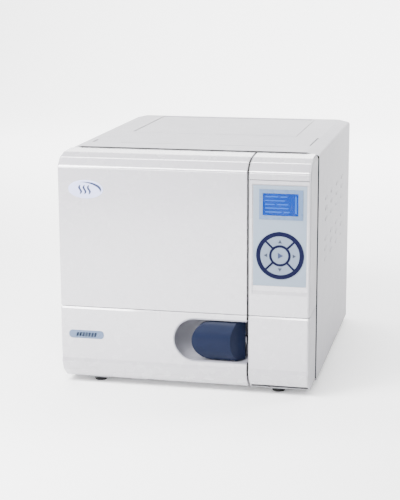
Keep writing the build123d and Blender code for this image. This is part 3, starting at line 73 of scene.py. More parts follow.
class Finish:
    """A Principled material with helpers that add surface detail to it, in object coordinates."""

    def __init__(self, name, colour, roughness, metallic=0.0, coat=0.0, specular=0.5):
        self.material = bpy.data.materials.new(name)
        self.material.use_nodes = True
        self.tree = self.material.node_tree
        self.shader = self.tree.nodes["Principled BSDF"]
        self.colour = (*colour, 1.0)
        self.roughness = roughness
        self.shader.inputs["Base Color"].default_value = self.colour
        self.shader.inputs["Roughness"].default_value = roughness
        self.shader.inputs["Metallic"].default_value = metallic
        self.shader.inputs["Coat Weight"].default_value = coat
        self.shader.inputs["Coat Roughness"].default_value = 0.07
        self.shader.inputs["Specular IOR Level"].default_value = specular
        self.place = self.tree.nodes.new("ShaderNodeTexCoord").outputs["Object"]
        self.height = None

    def stretched(self, scale):
        """Object coordinates scaled differently on each axis."""
        mapping = self.tree.nodes.new("ShaderNodeMapping")
        mapping.inputs["Scale"].default_value = scale
        self.tree.links.new(self.place, mapping.inputs["Vector"])
        return mapping.outputs["Vector"]

    def noise(self, scale, detail=3.0, place=None):
        node = self.tree.nodes.new("ShaderNodeTexNoise")
        node.inputs["Scale"].default_value = scale
        node.inputs["Detail"].default_value = detail
        self.tree.links.new(place or self.place, node.inputs["Vector"])
        return node.outputs["Fac"]

    def remap(self, value, low, high, start=0.3, end=0.7):
        node = self.tree.nodes.new("ShaderNodeMapRange")
        node.inputs["From Min"].default_value = start
        node.inputs["From Max"].default_value = end
        node.inputs["To Min"].default_value = low
        node.inputs["To Max"].default_value = high
        self.tree.links.new(value, node.inputs["Value"])
        return node.outputs["Result"]

    def mottle(self, scale, other, amount=1.0):
        """Colour that drifts between the base colour and another."""
        mix = self.tree.nodes.new("ShaderNodeMix")
        mix.data_type = "RGBA"
        mix.inputs["A"].default_value = self.colour
        mix.inputs["B"].default_value = (*other, 1.0)
        self.tree.links.new(self.remap(self.noise(scale), 0.0, amount), mix.inputs["Factor"])
        self.tree.links.new(mix.outputs["Result"], self.shader.inputs["Base Color"])
        return self

    def gloss(self, scale, spread, place=None):
        """Roughness that varies about its own value, as on a handled surface."""
        value = self.remap(self.noise(scale, 4.0, place), self.roughness - spread, self.roughness + spread)
        self.tree.links.new(value, self.shader.inputs["Roughness"])
        return self

    def turned_lines(self):
        """Fine concentric rings round the Y axis, as a lathe leaves."""
        split = self.tree.nodes.new("ShaderNodeSeparateXYZ")
        self.tree.links.new(self.place, split.inputs["Vector"])
        join = self.tree.nodes.new("ShaderNodeCombineXYZ")
        self.tree.links.new(split.outputs["X"], join.inputs["X"])
        self.tree.links.new(split.outputs["Z"], join.inputs["Y"])
        reach = self.tree.nodes.new("ShaderNodeVectorMath")
        reach.operation = "LENGTH"
        self.tree.links.new(join.outputs["Vector"], reach.inputs[0])
        rings = self.tree.nodes.new("ShaderNodeTexNoise")
        rings.noise_dimensions = "1D"
        rings.inputs["Scale"].default_value = 900.0
        rings.inputs["Detail"].default_value = 3.0
        self.tree.links.new(reach.outputs["Value"], rings.inputs["W"])
        self.tree.links.new(self.remap(rings.outputs["Fac"], 0.18, 0.36), self.shader.inputs["Roughness"])
        return self.bump(rings.outputs["Fac"], 0.25, 0.03 * MM)

    def bump(self, height, strength, distance):
        node = self.tree.nodes.new("ShaderNodeBump")
        node.inputs["Strength"].default_value = strength
        node.inputs["Distance"].default_value = distance
        self.tree.links.new(height, node.inputs["Height"])
        if self.height:
            self.tree.links.new(self.height, node.inputs["Normal"])
        self.height = node.outputs["Normal"]
        self.tree.links.new(self.height, self.shader.inputs["Normal"])
        return self

    def grain(self, scale, strength, distance, place=None, detail=2.0):
        """Fine relief: orange peel, moulded texture or brushing."""
        return self.bump(self.noise(scale, detail, place), strength, distance)


def moulded_white(name, colour, shade, roughness, peel, coat, specular):
    """White moulding or powder coat, with orange peel and faint handling marks."""
    finish = Finish(name, colour, roughness, coat=coat, specular=specular)
    finish.shader.inputs["Coat IOR"].default_value = 2.0
    finish.mottle(6.0, shade, 0.7)
    finish.gloss(40.0, 0.05)
    finish.grain(900.0, 0.10, peel)
    return finish


def brushed_metal(name, colour, roughness, direction):
    """Metal with fine lines along one axis."""
    finish = Finish(name, colour, roughness, metallic=1.0)
    lines = finish.stretched(direction)
    finish.mottle(9.0, tuple(0.86 * part for part in colour), 0.8)
    finish.gloss(60.0, 0.08, lines)
    finish.grain(60.0, 0.12, 0.05 * MM, lines, 4.0)
    return finish


def plain_plastic(name, colour, roughness, shade=0.8, coat=0.0, specular=0.3):
    finish = Finish(name, colour, roughness, coat=coat, specular=specular)
    finish.mottle(14.0, tuple(shade * part for part in colour), 0.8)
    finish.gloss(90.0, 0.06)
    finish.grain(1400.0, 0.16, 0.04 * MM)
    return finish


def make_finishes():
    made = {
        "casing_white": moulded_white(
            "casing_white", (0.36, 0.355, 0.375), (0.33, 0.325, 0.35), 0.55, 0.05 * MM, 0.0, 0.18),
        "door_white": moulded_white(
            "door_white", (0.38, 0.37, 0.40), (0.36, 0.35, 0.38), 0.26, 0.02 * MM, 1.0, 0.6),
        "silver_label": plain_plastic("silver_label", (0.18, 0.225, 0.285), 0.42, 0.93),
        "silver_bezel": plain_plastic("silver_bezel", (0.085, 0.135, 0.23), 0.30, 0.9, 0.0, 0.3),
        "navy_plastic": plain_plastic("navy_plastic", (0.004, 0.0048, 0.024), 0.36, 0.8, 0.0, 0.06),
        "key_silver": plain_plastic("key_silver", (0.125, 0.16, 0.215), 0.38, 0.93),
        "circuit_board": plain_plastic("circuit_board", (0.015, 0.12, 0.05), 0.45, 0.6),
        "dark_plastic": plain_plastic("dark_plastic", (0.022, 0.022, 0.025), 0.48, 0.6),
        "stainless": brushed_metal("stainless", (0.62, 0.62, 0.63), 0.27, (1.0, 30.0, 1.0)),
        "painted_steel": plain_plastic("painted_steel", (0.3, 0.31, 0.33), 0.42, 0.9),
        "badge_blue": plain_plastic("badge_blue", (0.42, 0.45, 0.68), 0.22, 0.9, 0.6),
        # pocket_grey is darker than door_white: painted shade for the hollow of the handle pocket
        "pocket_grey": plain_plastic("pocket_grey", (0.20, 0.20, 0.23), 0.50, 0.9),
        "handle_blue": plain_plastic("handle_blue", (0.0060, 0.0095, 0.026), 0.34, 0.85, 0.0, 0.07),
        "silicone": plain_plastic("silicone", (0.62, 0.60, 0.55), 0.55, 0.92),
        "black_rubber": plain_plastic("black_rubber", (0.018, 0.018, 0.018), 0.75, 0.6),
        "insulation": plain_plastic("insulation", (0.55, 0.50, 0.38), 0.9, 0.8),
        "tank_plastic": plain_plastic("tank_plastic", (0.66, 0.68, 0.70), 0.40, 0.94),
        "fin_aluminium": brushed_metal("fin_aluminium", (0.72, 0.73, 0.74), 0.35, (1.0, 1.0, 30.0)),
        "valve_brass": brushed_metal("valve_brass", (0.70, 0.50, 0.20), 0.30, (1.0, 20.0, 1.0)),
        "lever_red": plain_plastic("lever_red", (0.45, 0.02, 0.02), 0.4, 0.8),
    }
    turned = Finish("turned_steel", (0.60, 0.60, 0.61), 0.24, metallic=1.0)
    turned.turned_lines()
    made["turned_steel"] = turned
    # near-black steel; on the latch hook it is painted shade for the hollow of the handle pocket
    made["black_steel_and_shade"] = brushed_metal("black_steel_and_shade", (0.10, 0.10, 0.11), 0.40, (1.0, 20.0, 1.0))
    made["icon_grey"] = plain_plastic("icon_grey", (0.02, 0.026, 0.045), 0.5)
    made["badge_dark"] = plain_plastic("badge_dark", (0.020, 0.028, 0.075), 0.35)
    made["badge_slate"] = plain_plastic("badge_slate", (0.09, 0.13, 0.21), 0.3)
    lines = Finish("screen_lines", (0.02, 0.05, 0.12), 0.5, specular=0.0)
    lines.shader.inputs["Emission Color"].default_value = (0.02, 0.20, 0.95, 1.0)
    lines.shader.inputs["Emission Strength"].default_value = 1.0
    made["screen_lines"] = lines
    screen = Finish("screen_blue", (0.005, 0.02, 0.10), 0.5, specular=0.0)
    screen.shader.inputs["Emission Color"].default_value = (0.0, 0.055, 0.52, 1.0)
    screen.shader.inputs["Emission Strength"].default_value = 1.0
    made["screen_blue"] = screen
    window = Finish("clear_window", (1.0, 1.0, 1.0), 0.04, specular=0.1)
    window.shader.inputs["Transmission Weight"].default_value = 1.0
    window.shader.inputs["IOR"].default_value = 1.15
    made["clear_window"] = window
    return {name: finish.material for name, finish in made.items()}


FINISHES = make_finishes()


def dress_nodes():
    """Every CAD node takes the finish that its own slot names."""
    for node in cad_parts.values():
        for slot in node.material_slots:
            slot.material = FINISHES[slot.material.name.split(".")[0]]


def soften(width, *names):
    """Rounds the sharp edges of CAD nodes by a width in millimetres."""
    for name in names:
        add_bevel(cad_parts[name], width, 3)


def add_bevel(thing, width, segments=2, angle=35.0):
    bevel = thing.modifiers.new("edges", "BEVEL")
    bevel.width = width * MM
    bevel.segments = segments
    bevel.limit_method = "ANGLE"
    bevel.angle_limit = math.radians(angle)
    bevel.harden_normals = True


def repaint(finish, *names):
    """Another finish for CAD nodes that share a slot with brighter ones."""
    for name in names:
        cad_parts[name].material_slots[0].material = FINISHES[finish]


# ---------------------------------------------------------------- modelling tools, in millimetres

class Piece:
    """A mesh drawn in the row frame in millimetres, round an origin."""

    def __init__(self, name, finish, origin):
        self.name = name
        self.finish = finish
        self.origin = Vector(origin)
        self.bm = bmesh.new()

    def vert(self, point):
        return self.bm.verts.new((Vector(point) - self.origin) * MM)

    def strip(self, loops, closed=True, caps=True):
        """Skin between loops of points, with a face over each end."""
        rings = [[self.vert(point) for point in loop] for loop in loops]
        count = len(rings[0])
        last = count if closed else count - 1
        for near, far in zip(rings, rings[1:]):
            for i in range(last):
                j = (i + 1) % count
                self.bm.faces.new((near[i], near[j], far[j], far[i]))
        if caps:
            self.bm.faces.new(list(reversed(rings[0])))
            self.bm.faces.new(rings[-1])
        return self

    def box(self, x, y, z):
        low = [(x[0], y[0], z[0]), (x[1], y[0], z[0]), (x[1], y[1], z[0]), (x[0], y[1], z[0])]
        return self.strip([low, [(a, b, z[1]) for a, b, _ in low]])

    def prism(self, outline, y):
        """Outline of X and Z points, between two Y planes."""
        return self.strip([[(a, y[0], b) for a, b in outline], [(a, y[1], b) for a, b in outline]])

    def lathe(self, centre, axis, profile, steps=48, caps=True):
        """Profile of radius and distance along an axis, turned about a centre."""
        along = AXES[axis]
        across = AXES["Z"] if axis == "Y" else AXES["X"]
        third = along.cross(across)
        loops = []
        for radius, travel in profile:
            middle = Vector(centre) + along * travel
            loops.append([middle + (across * math.cos(t) + third * math.sin(t)) * max(radius, 0.01)
                          for t in (2 * math.pi * i / steps for i in range(steps))])
        return self.strip(loops, caps=caps)

    def pipe(self, path, radius, steps=12):
        """Round wire or tube along a path of points."""
        points = [Vector(point) for point in path]
        side = Vector((0.0, 0.0, 1.0))
        loops = []
        for i, point in enumerate(points):
            run = (points[min(i + 1, len(points) - 1)] - points[max(i - 1, 0)]).normalized()
            if abs(run.dot(side)) > 0.9:
                side = Vector((1.0, 0.0, 0.0))
            side = (side - run * run.dot(side)).normalized()
            other = run.cross(side)
            loops.append([point + (side * math.cos(t) + other * math.sin(t)) * radius
                          for t in (2 * math.pi * k / steps for k in range(steps))])
        return self.strip(loops)

    def done(self, body, nodes=(), bevel=0.0, smooth=35.0):
        """Finishes the piece, hangs it on its body and hides the CAD nodes that it stands for."""
        bmesh.ops.recalc_face_normals(self.bm, faces=self.bm.faces)
        mesh = bpy.data.meshes.new(self.name)
        self.bm.to_mesh(mesh)
        self.bm.free()
        mesh.materials.append(FINISHES[self.finish])
        mesh.shade_smooth()
        mesh.set_sharp_from_angle(angle=math.radians(smooth))
        thing = bpy.data.objects.new(self.name, mesh)
        bpy.context.scene.collection.objects.link(thing)
        thing.location = self.origin * MM
        if bevel:
            add_bevel(thing, bevel)
        bpy.context.view_layer.update()
        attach(thing, body)
        if nodes:
            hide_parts(*nodes)
        return thing


AXES = {"X": Vector((1.0, 0.0, 0.0)), "Y": Vector((0.0, 1.0, 0.0)), "Z": Vector((0.0, 0.0, 1.0))}


def box_mm(node):
    """Lowest and highest corner of a CAD node, in millimetres."""
    low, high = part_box(node)
    return Vector(low) / MM, Vector(high) / MM


def middle_mm(node):
    low, high = box_mm(node)
    return (low + high) / 2


# ---------------------------------------------------------------- front

def add_screen():
    """Lines of a menu on the screen, as plain bars."""
    low = box_mm("lcd_module")[0]
    glass_low, glass_high = box_mm("display_window")
    y = (low.y - 0.15, low.y + 0.1)
    left, top = glass_low.x + 4.0, glass_high.z - 5.0
    lines = Piece("screen_lines", "screen_lines", middle_mm("display_window"))
    for row, parts in enumerate(((22, 12), (34,), (16, 20), (40,), (28, 10))):
        x = left
        z = top - row * 6.6
        for width in parts:
            lines.box((x, x + width), y, (z - 1.9, z))
            x += width + 4.0
    lines.box((glass_high.x - 6.0, glass_high.x - 3.0), y, (glass_low.z + 4.0, glass_high.z - 5.0))
    lines.done("chassis")


def arrow(centre, size, turn):
    """Triangle that points up, turned clockwise by an angle in degrees."""
    spin = math.radians(-turn)
    corners = [(0.0, size), (-0.9 * size, -0.6 * size), (0.9 * size, -0.6 * size)]
    return [(centre[0] + a * math.cos(spin) - b * math.sin(spin),
             centre[1] + a * math.sin(spin) + b * math.cos(spin)) for a, b in corners]


def add_key_icons():
    """Arrow on each key of the ring and a play triangle on the middle key."""
    for key, turn in (("up", 0), ("right", 90), ("down", 180), ("left", 270), ("start", 90)):
        size, finish = (6.0, "badge_dark") if key == "start" else (3.8, "icon_grey")
        middle = middle_mm("key_" + key)
        front = box_mm("key_" + key)[0].y
        icon = Piece("icon_" + key, finish, middle)
        icon.prism(arrow((middle.x, middle.z), size, turn), (front - 0.25, front + 0.2))
        icon.done("key_" + key, bevel=0.1)


def ellipse(centre, radii, start=0.0, end=360.0, steps=48):
    """Points round an ellipse between two angles in degrees."""
    span = math.radians(end - start)
    first = math.radians(start)
    count = steps if end - start >= 360.0 else steps + 1
    return [(centre[0] + radii[0] * math.cos(first + span * i / steps),
             centre[1] + radii[1] * math.sin(first + span * i / steps)) for i in range(count)]


def crescent(centre, radii, width, start, end, steps=24):
    """Arc that is widest in the middle and tapers to both ends."""
    outer = ellipse(centre, radii, start, end, steps)
    inner = []
    for i, (x, z) in enumerate(outer):
        fat = 1.0 - width / radii[1] * math.sin(math.pi * i / steps)
        inner.append((centre[0] + (x - centre[0]) * fat, centre[1] + (z - centre[1]) * fat))
    return outer + inner[-2:0:-1]


def wave(start, height, swing, width):
    """Rising plume of steam, as one wavy band."""
    steps = 14
    edge = []
    for i in range(steps + 1):
        t = i / steps
        x = start[0] + swing * math.sin(2 * math.pi * t)
        half = width * math.sin(math.pi * (0.15 + 0.7 * t)) / 2
        edge.append((x, start[1] + height * t, half))
    return [(x - half, z) for x, z, half in edge] + [(x + half, z) for x, z, half in reversed(edge)]


def add_badges():
    """Two domed badges: an oval one with plumes of steam under an arc, and a bar with slanted strokes."""
    low, high = box_mm("door_badges")
    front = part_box("door_upper_cover")[0][1] / MM
    oval = ((low.x + BADGE_STEP) + OVAL_RADII[0], high.z - OVAL_RADII[1])
    dome = Piece("oval_badge", "badge_blue", (oval[0], front, oval[1]))
    loops = []
    for shrink, proud in ((1.0, 0.0), (1.0, 0.35), (0.93, 0.62), (0.75, 0.74), (0.4, 0.79), (0.02, 0.8)):
        radii = (OVAL_RADII[0] * shrink, OVAL_RADII[1] * shrink)
        loops.append([(x, front - proud, z) for x, z in ellipse(oval, radii)])
    dome.strip(loops)
    dome.done("door", ("door_badges",))
    y = (front - 0.8, front - 0.3)
    mark = Piece("oval_mark", "badge_dark", (oval[0], front, oval[1]))
    mark.prism(crescent(oval, (28.5, 13.2), 3.0, -20.0, 110.0), y)
    for i in range(3):
        mark.prism(wave((oval[0] - 10.0 + i * 8.0, oval[1] - 8.5), 16.0, 1.8, 4.2), y)
    mark.done("door")
    bar = (low.x + BAR_HALF[0], low.z + BAR_HALF[1])
    plane = low.y + 0.8
    base = Piece("bar_badge", "badge_slate", (bar[0], plane, bar[1]))
    loops = []
    for inset, proud in ((0.0, 0.0), (0.0, 0.4), (1.2, 0.7), (4.0, 0.8)):
        corner = max(6.5 - inset, 1.0)
        loop = []
        for cx, cz, first in ((1, 1, 0), (-1, 1, 90), (-1, -1, 180), (1, -1, 270)):
            reach = (BAR_HALF[0] - inset - corner, BAR_HALF[1] - inset - corner)
            centre = (bar[0] + cx * reach[0], bar[1] + cz * reach[1])
            loop += ellipse(centre, (corner, corner), first, first + 90.0, 6)
        loops.append([(x, plane - proud, z) for x, z in loop])
    base.strip(loops)
    base.done("door")
    strokes = Piece("bar_mark", "badge_dark", (bar[0], plane, bar[1]))
    for i in range(7):
        x = bar[0] - 19.0 + i * 5.5
        bottom, top = bar[1] - 4.0, bar[1] + 4.0
        stroke = [(x, bottom), (x + 3.4, bottom), (x + 5.6, top), (x + 2.2, top)]
        strokes.prism(stroke, (plane - 0.8, plane - 0.4))
    strokes.done("door")


def add_cover_gap_shade():
    """Dark strip in the gap between the facade and the cover, following the cover's outline: painted shade
    that stands for the shadow in that gap.
    """
    low, high = box_mm("outer_cover")
    half = high.x - 2.0
    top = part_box("tank_lid")[1][2] / MM - 0.3
    y = (low.y - 1.0, low.y - 0.1)
    foot = 14.0
    outer = [(-half, foot), (-half, top - 6.5), (-half + 1.5, top - 4.8), (-half + 22.0, top)]
    inner = [
        (-half + 4.0, foot), (-half + 4.0, top - 8.5), (-half + 5.5, top - 7.5), (-half + 22.0, top - 4.0),
    ]
    outer += [(-x, z) for x, z in reversed(outer)]
    inner += [(-x, z) for x, z in reversed(inner)]
    # black strip drawn as painted shade for the gap behind the facade
    shade_strip = Piece("cover_gap_shade", "black_rubber", (0.0, y[0], 220.0))
    loops = []
    for (a, b), (c, d) in zip(outer, inner):
        loops.append([(a, y[0], b), (a, y[1], b), (c, y[1], d), (c, y[0], d)])
    shade_strip.strip(loops).done("chassis")


def add_door_gap_shade():
    """Dark strip on the column, just behind the front, that closes the view into the gap beside the door:
    painted shade that stands for the shadow in that gap.
    """
    low, high = box_mm("column_housing")
    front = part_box("door_upper_cover")[0][1] / MM
    x = (low.x - 2.5, low.x + 0.1)
    top = high.z - 4.0
    upper = [
        (front + 3.0, 180.0), (front + 3.0, top - 19.0), (front + 16.0, top - 8.0), (front + 36.0, top - 2.6),
        (high.y - 10.0, top - 1.5),
    ]
    middle = [(front + 3.0, 138.0), (front + 3.0, 164.0)]
    lower = [(front + 4.5, 36.0), (front + 2.5, 58.0)]
    # black strip drawn as painted shade for the gap beside the door
    shade_strip = Piece("door_gap_shade", "black_rubber", (low.x, front, 200.0))
    for run in (upper, middle, lower):
        loops = []
        for i, (y, z) in enumerate(run):
            near, far = run[max(i - 1, 0)], run[min(i + 1, len(run) - 1)]
            along = Vector((far[0] - near[0], far[1] - near[1])).normalized()
            back_y, back_z = y + along.y * 5.0, z - along.x * 5.0
            loops.append([(x[0], y, z), (x[1], y, z), (x[1], back_y, back_z), (x[0], back_y, back_z)])
        shade_strip.strip(loops)
    shade_strip.done("chassis")


# ---------------------------------------------------------------- back

def add_rear_screws():
    """Pan-head screws round the rear panel; the cross recess on each head is a dark cross drawn as painted
    shade.
    """
    low, high = box_mm("rear_panel")
    screws = Piece("rear_screws", "stainless", middle_mm("rear_panel"))
    recess_shade = Piece("rear_screw_recess_shade", "dark_plastic", middle_mm("rear_panel"))
    columns = [low.x + 12.0 + i * (high.x - low.x - 24.0) / 4 for i in range(5)]
    rows = [low.z + 60.0 + i * (high.z - low.z - 130.0) / 2 for i in range(3)]
    places = [(x, high.z - 12.0) for x in columns] + [(x, low.z + 10.0) for x in columns[1:4]]
    places += [(x, z) for x in (columns[0], columns[-1]) for z in rows]
    head = [(3.8, -0.3), (3.8, 0.8), (3.2, 1.5), (1.6, 1.9), (0.0, 2.0)]
    for x, z in places:
        screws.lathe((x, high.y, z), "Y", head, 24)
        # dark cross on the head: painted shade for the cross recess
        recess_shade.box((x - 0.45, x + 0.45), (high.y + 1.5, high.y + 2.05), (z - 1.9, z + 1.9))
        recess_shade.box((x - 1.9, x + 1.9), (high.y + 1.5, high.y + 2.04), (z - 0.45, z + 0.45))
    screws.done("chassis")
    recess_shade.done("chassis")


def add_rating_plate():
    """Blank type plate with a rivet at each corner."""
    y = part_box("rear_panel")[1][1] / MM
    x, z = (20.0, 110.0), (300.0, 352.0)
    plate = Piece("rating_plate", "silver_label", (x[0], y, z[0]))
    plate.box(x, (y - 0.1, y + 0.6), z)
    for a in (x[0] + 4.0, x[1] - 4.0):
        for b in (z[0] + 4.0, z[1] - 4.0):
            plate.lathe((a, y, b), "Y", [(1.7, 0.5), (1.7, 0.8), (1.1, 1.2), (0.0, 1.3)], 16)
    plate.done("chassis", bevel=0.2)


def ring_path(centre, radius, steps=64):
    """Closed round path that faces the back, as points."""
    return [(centre[0] + radius * math.cos(2 * math.pi * i / steps), centre[1],
             centre[2] + radius * math.sin(2 * math.pi * i / steps)) for i in range(steps + 1)]


def add_fan_guard():
    """Wire guard over the fan grille, with four screwed eyes."""
    hub = middle_mm("fan_rotor")
    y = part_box("rear_panel")[1][1] / MM + 1.6
    guard = Piece("fan_guard", "stainless", (hub.x, y, hub.z))
    wire = 0.9
    eye = [(4.2, 0.0), (4.2, 1.2), (2.6, 2.2), (0.0, 2.4)]
    for radius in (12.0, 24.0, 36.0, 48.0, 57.0):
        guard.pipe(ring_path((hub.x, y, hub.z), radius), wire, 8)
    for turn in (45.0, 135.0, 225.0, 315.0):
        across, up = math.cos(math.radians(turn)), math.sin(math.radians(turn))
        guard.pipe([(hub.x + across * r, y - 1.0, hub.z + up * r) for r in (10.0, 40.0, 72.0)], wire, 8)
        guard.lathe((hub.x + across * 73.0, y - 1.7, hub.z + up * 73.0), "Y", eye, 20)
    guard.done("chassis")


def add_inlet_pins():
    """Three blades inside the mains inlet."""
    low, high = box_mm("power_inlet")
    x, z = (low.x + high.x) / 2, (low.z + high.z) / 2
    pins = Piece("inlet_pins", "stainless", (x, high.y, z))
    for dx, dz in ((-7.0, -2.0), (0.0, 2.0), (7.0, -2.0)):
        pins.box((x + dx - 1.0, x + dx + 1.0), (high.y - 16.0, high.y - 2.0), (z + dz - 2.2, z + dz + 2.2))
    pins.done("chassis", bevel=0.4)


def add_rocker_marks():
    """Bar on the upper half of the mains rocker, for on."""
    low, high = box_mm("power_rocker")
    x, y = (low.x + high.x) / 2, high.y
    marks = Piece("rocker_marks", "silver_label", (x, y, (low.z + high.z) / 2))
    marks.box((x - 0.5, x + 0.5), (y - 2.2, y - 1.0), (high.z - 7.5, high.z - 3.5))
    marks.done("power_rocker")


def add_drain():
    """Turned drain valve: union nut, body and ridged hose barb."""
    low, high = box_mm("drain_valve")
    x, z, end = (low.x + high.x) / 2, low.z + 8.8, high.y
    valve = Piece("drain_valve_turned", "valve_brass", (x, end - 20.0, z))
    profile = [
        (0.0, -35.4), (8.6, -35.4), (8.8, -35.0), (8.8, -16.5), (8.2, -15.8), (8.2, -8.4), (7.4, -7.5),
        (3.3, -7.4),
    ]
    for ridge in (-5.4, -3.0, -0.8):
        profile += [(3.4, ridge - 1.2), (4.0, ridge - 0.9), (3.4, ridge + 0.7)]
    profile += [(2.6, 0.0), (1.8, 0.0), (1.8, -6.0), (0.0, -6.0)]
    valve.lathe((x, end, z), "Y", profile, 40)
    lever = middle_mm("drain_lever")
    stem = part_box("drain_lever")[0]
    neck = [(0.0, 4.0), (4.1, 4.0), (4.1, 12.2), (3.6, 13.0), (0.0, 13.0)]
    valve.lathe((x, stem[1] / MM + 3.5, z), "Z", neck, 32)
    valve.done("chassis", ("drain_valve",), bevel=0.2)
    grip = Piece("drain_lever_sleeve", "lever_red", lever)
    near, far = box_mm("drain_lever")
    grip.box((near.x + 9.0, far.x + 0.6), (near.y - 0.5, far.y + 0.5), (far.z - 3.9, far.z + 0.5))
    grip.done("drain_lever", bevel=1.2)
    repaint("stainless", "drain_lever")


def add_feet():
    """Moulded feet with a grooved skirt and a hollow underside."""
    low, high = box_mm("rubber_feet")
    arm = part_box("base_plate")[0][2] / MM
    feet = Piece("moulded_feet", "black_rubber", middle_mm("rubber_feet"))
    for x in (low.x + FOOT_RADIUS, high.x - FOOT_RADIUS):
        for y, top in ((low.y + FOOT_RADIUS, arm), (high.y - FOOT_RADIUS, high.z)):
            profile = [
                (0.0, 1.6), (6.0, 1.6), (7.0, 0.0), (10.4, 0.0), (11.0, 0.6), (11.5, top * 0.35),
                (10.9, top * 0.42), (11.9, top * 0.5), (12.8, top), (0.0, top),
            ]
            feet.lathe((x, y, 0.0), "Z", profile, 40)
    feet.done("chassis", ("rubber_feet",))


# ---------------------------------------------------------------- inside

def turned_section(x, z, section, steps):
    """A closed section of radius and Y, repeated round a line along Y."""
    turns = [2 * math.pi * i / steps for i in range(steps + 1)]
    return [[(x + r * math.cos(turn), y, z + r * math.sin(turn)) for r, y in section] for turn in turns]


def add_pressure_disc():
    """Dished inner door with a rolled rim, turned steps and a threaded stud."""
    low, high = box_mm("pressure_disc")
    x, z, back = (low.x + high.x) / 2, (low.z + high.z) / 2, high.y
    disc = Piece("pressure_disc_turned", "turned_steel", (x, back, z))
    profile = [(0.0, -40.0), (7.4, -40.0), (8.0, -39.4)]
    for turn in range(9):
        profile += [(8.0, -38.6 + turn * 1.5), (7.4, -37.9 + turn * 1.5)]
    profile += [
        (8.0, -24.0), (8.0, -15.0), (13.4, -15.0), (14.0, -14.4), (14.0, -8.0), (40.0, -8.0), (40.6, -4.4),
        (127.4, -4.2), (128.0, -8.0), (135.0, -8.0), (136.0, -7.0), (136.0, -1.0), (135.0, 0.0),
        (119.0, 0.0), (117.0, -2.0), (90.0, -2.0), (88.0, -2.6), (30.0, -2.6), (28.0, -2.0), (0.0, -2.0),
    ]
    disc.lathe((x, back, z), "Y", profile, 128)
    disc.done("door", ("pressure_disc",), smooth=30.0)


def add_gasket():
    """Silicone ring with a rounded lip and a groove."""
    low, high = box_mm("door_gasket")
    x, z, deep = (low.x + high.x) / 2, (low.z + high.z) / 2, high.y - low.y
    outer, inner = (high.x - low.x) / 2, (high.x - low.x) / 2 - 9.0
    ring = Piece("gasket_lip", "silicone", (x, low.y, z))
    lip = [
        (inner, 0.0), (inner, deep * 0.7), (inner + 1.2, deep), (inner + 3.0, deep),
        (inner + 4.0, deep * 0.55), (inner + 5.2, deep * 0.55), (inner + 6.2, deep),
        (outer - 0.8, deep), (outer, deep * 0.7), (outer, 0.0),
    ]
    section = [(r, low.y + travel) for r, travel in lip]
    ring.strip(turned_section(x, z, section, 128), caps=False)
    bmesh.ops.remove_doubles(ring.bm, verts=ring.bm.verts, dist=0.001 * MM)
    ring.done("door", ("door_gasket",))


def add_jacket():
    """Wrapped lagging: soft bulges between four steel straps with buckles, and a flat rear cap."""
    low, high = box_mm("insulation_jacket")
    x, z, radius = (low.x + high.x) / 2, (low.z + high.z) / 2, (high.x - low.x) / 2
    length = high.y - low.y
    wrap = Piece("jacket_wrap", "insulation", (x, low.y, z))
    steps = STRAP_COUNT * 12
    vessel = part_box("chamber_vessel")
    bore = (vessel[1][2] - vessel[0][2]) / 2 / MM - 21.5
    port = 7.6
    profile = [(bore, length - 20.0), (bore, 0.0), (radius - 4.0, 0.0)]
    for i in range(steps + 1):
        bulge = 3.6 * abs(math.sin(math.pi * (i / 12))) ** 0.5
        profile.append((radius - 4.5 + bulge, 2.0 + (length - 12.0) * i / steps))
    profile += [
        (radius - 5.0, length - 6.0), (radius - 12.0, length), (port, length), (port, length - 6.5),
        (bore, length - 6.5), (bore, length - 20.0),
    ]
    wrap.lathe((x, low.y, z), "Y", profile, 96, caps=False)
    bmesh.ops.remove_doubles(wrap.bm, verts=wrap.bm.verts, dist=0.001 * MM)
    wrap.done("chassis", ("insulation_jacket",))
    straps = Piece("jacket_straps", "stainless", (x, low.y, z))
    inner, outer = radius - 4.6, radius - 3.6
    for i in range(STRAP_COUNT + 1):
        y = low.y + 6.0 + (length - 20.0) * i / STRAP_COUNT
        section = [(inner, y - 4.0), (outer, y - 4.0), (outer, y + 4.0), (inner, y + 4.0)]
        straps.strip(turned_section(x, z, section, 96), caps=False)
        straps.box((x - radius + 2.0, x - radius + 6.0), (y - 6.0, y + 6.0), (z + 2.0, z + 24.0))
    straps.done("chassis")


def add_flange_bolts():
    """Cap screws with a washer round the flange; the hexagon socket on each head is a dark hexagon drawn as
    painted shade.
    """
    low, high = box_mm("flange_bolts")
    x, z = (low.x + high.x) / 2, (low.z + high.z) / 2
    head = [(0.0, 0.3), (4.4, 0.3), (4.9, 0.9), (4.9, 2.2), (5.6, 2.2), (5.6, 3.0), (0.0, 3.0)]
    socket = [(0.0, 0.05), (2.6, 0.05), (2.6, 1.5), (0.0, 1.5)]
    bolts = Piece("flange_cap_screws", "stainless", (x, low.y, z))
    socket_shade = Piece("flange_socket_shade", "dark_plastic", (x, low.y, z))
    for i in range(BOLT_COUNT):
        turn = math.radians(360.0 / BOLT_COUNT * (i + 0.5))
        a, b = x + BOLT_CIRCLE * math.cos(turn), z + BOLT_CIRCLE * math.sin(turn)
        bolts.lathe((a, low.y, b), "Y", head, 28)
        # dark hexagon on the head: painted shade for the socket
        socket_shade.lathe((a, low.y, b), "Y", socket, 6)
    bolts.done("chassis")
    socket_shade.done("chassis")


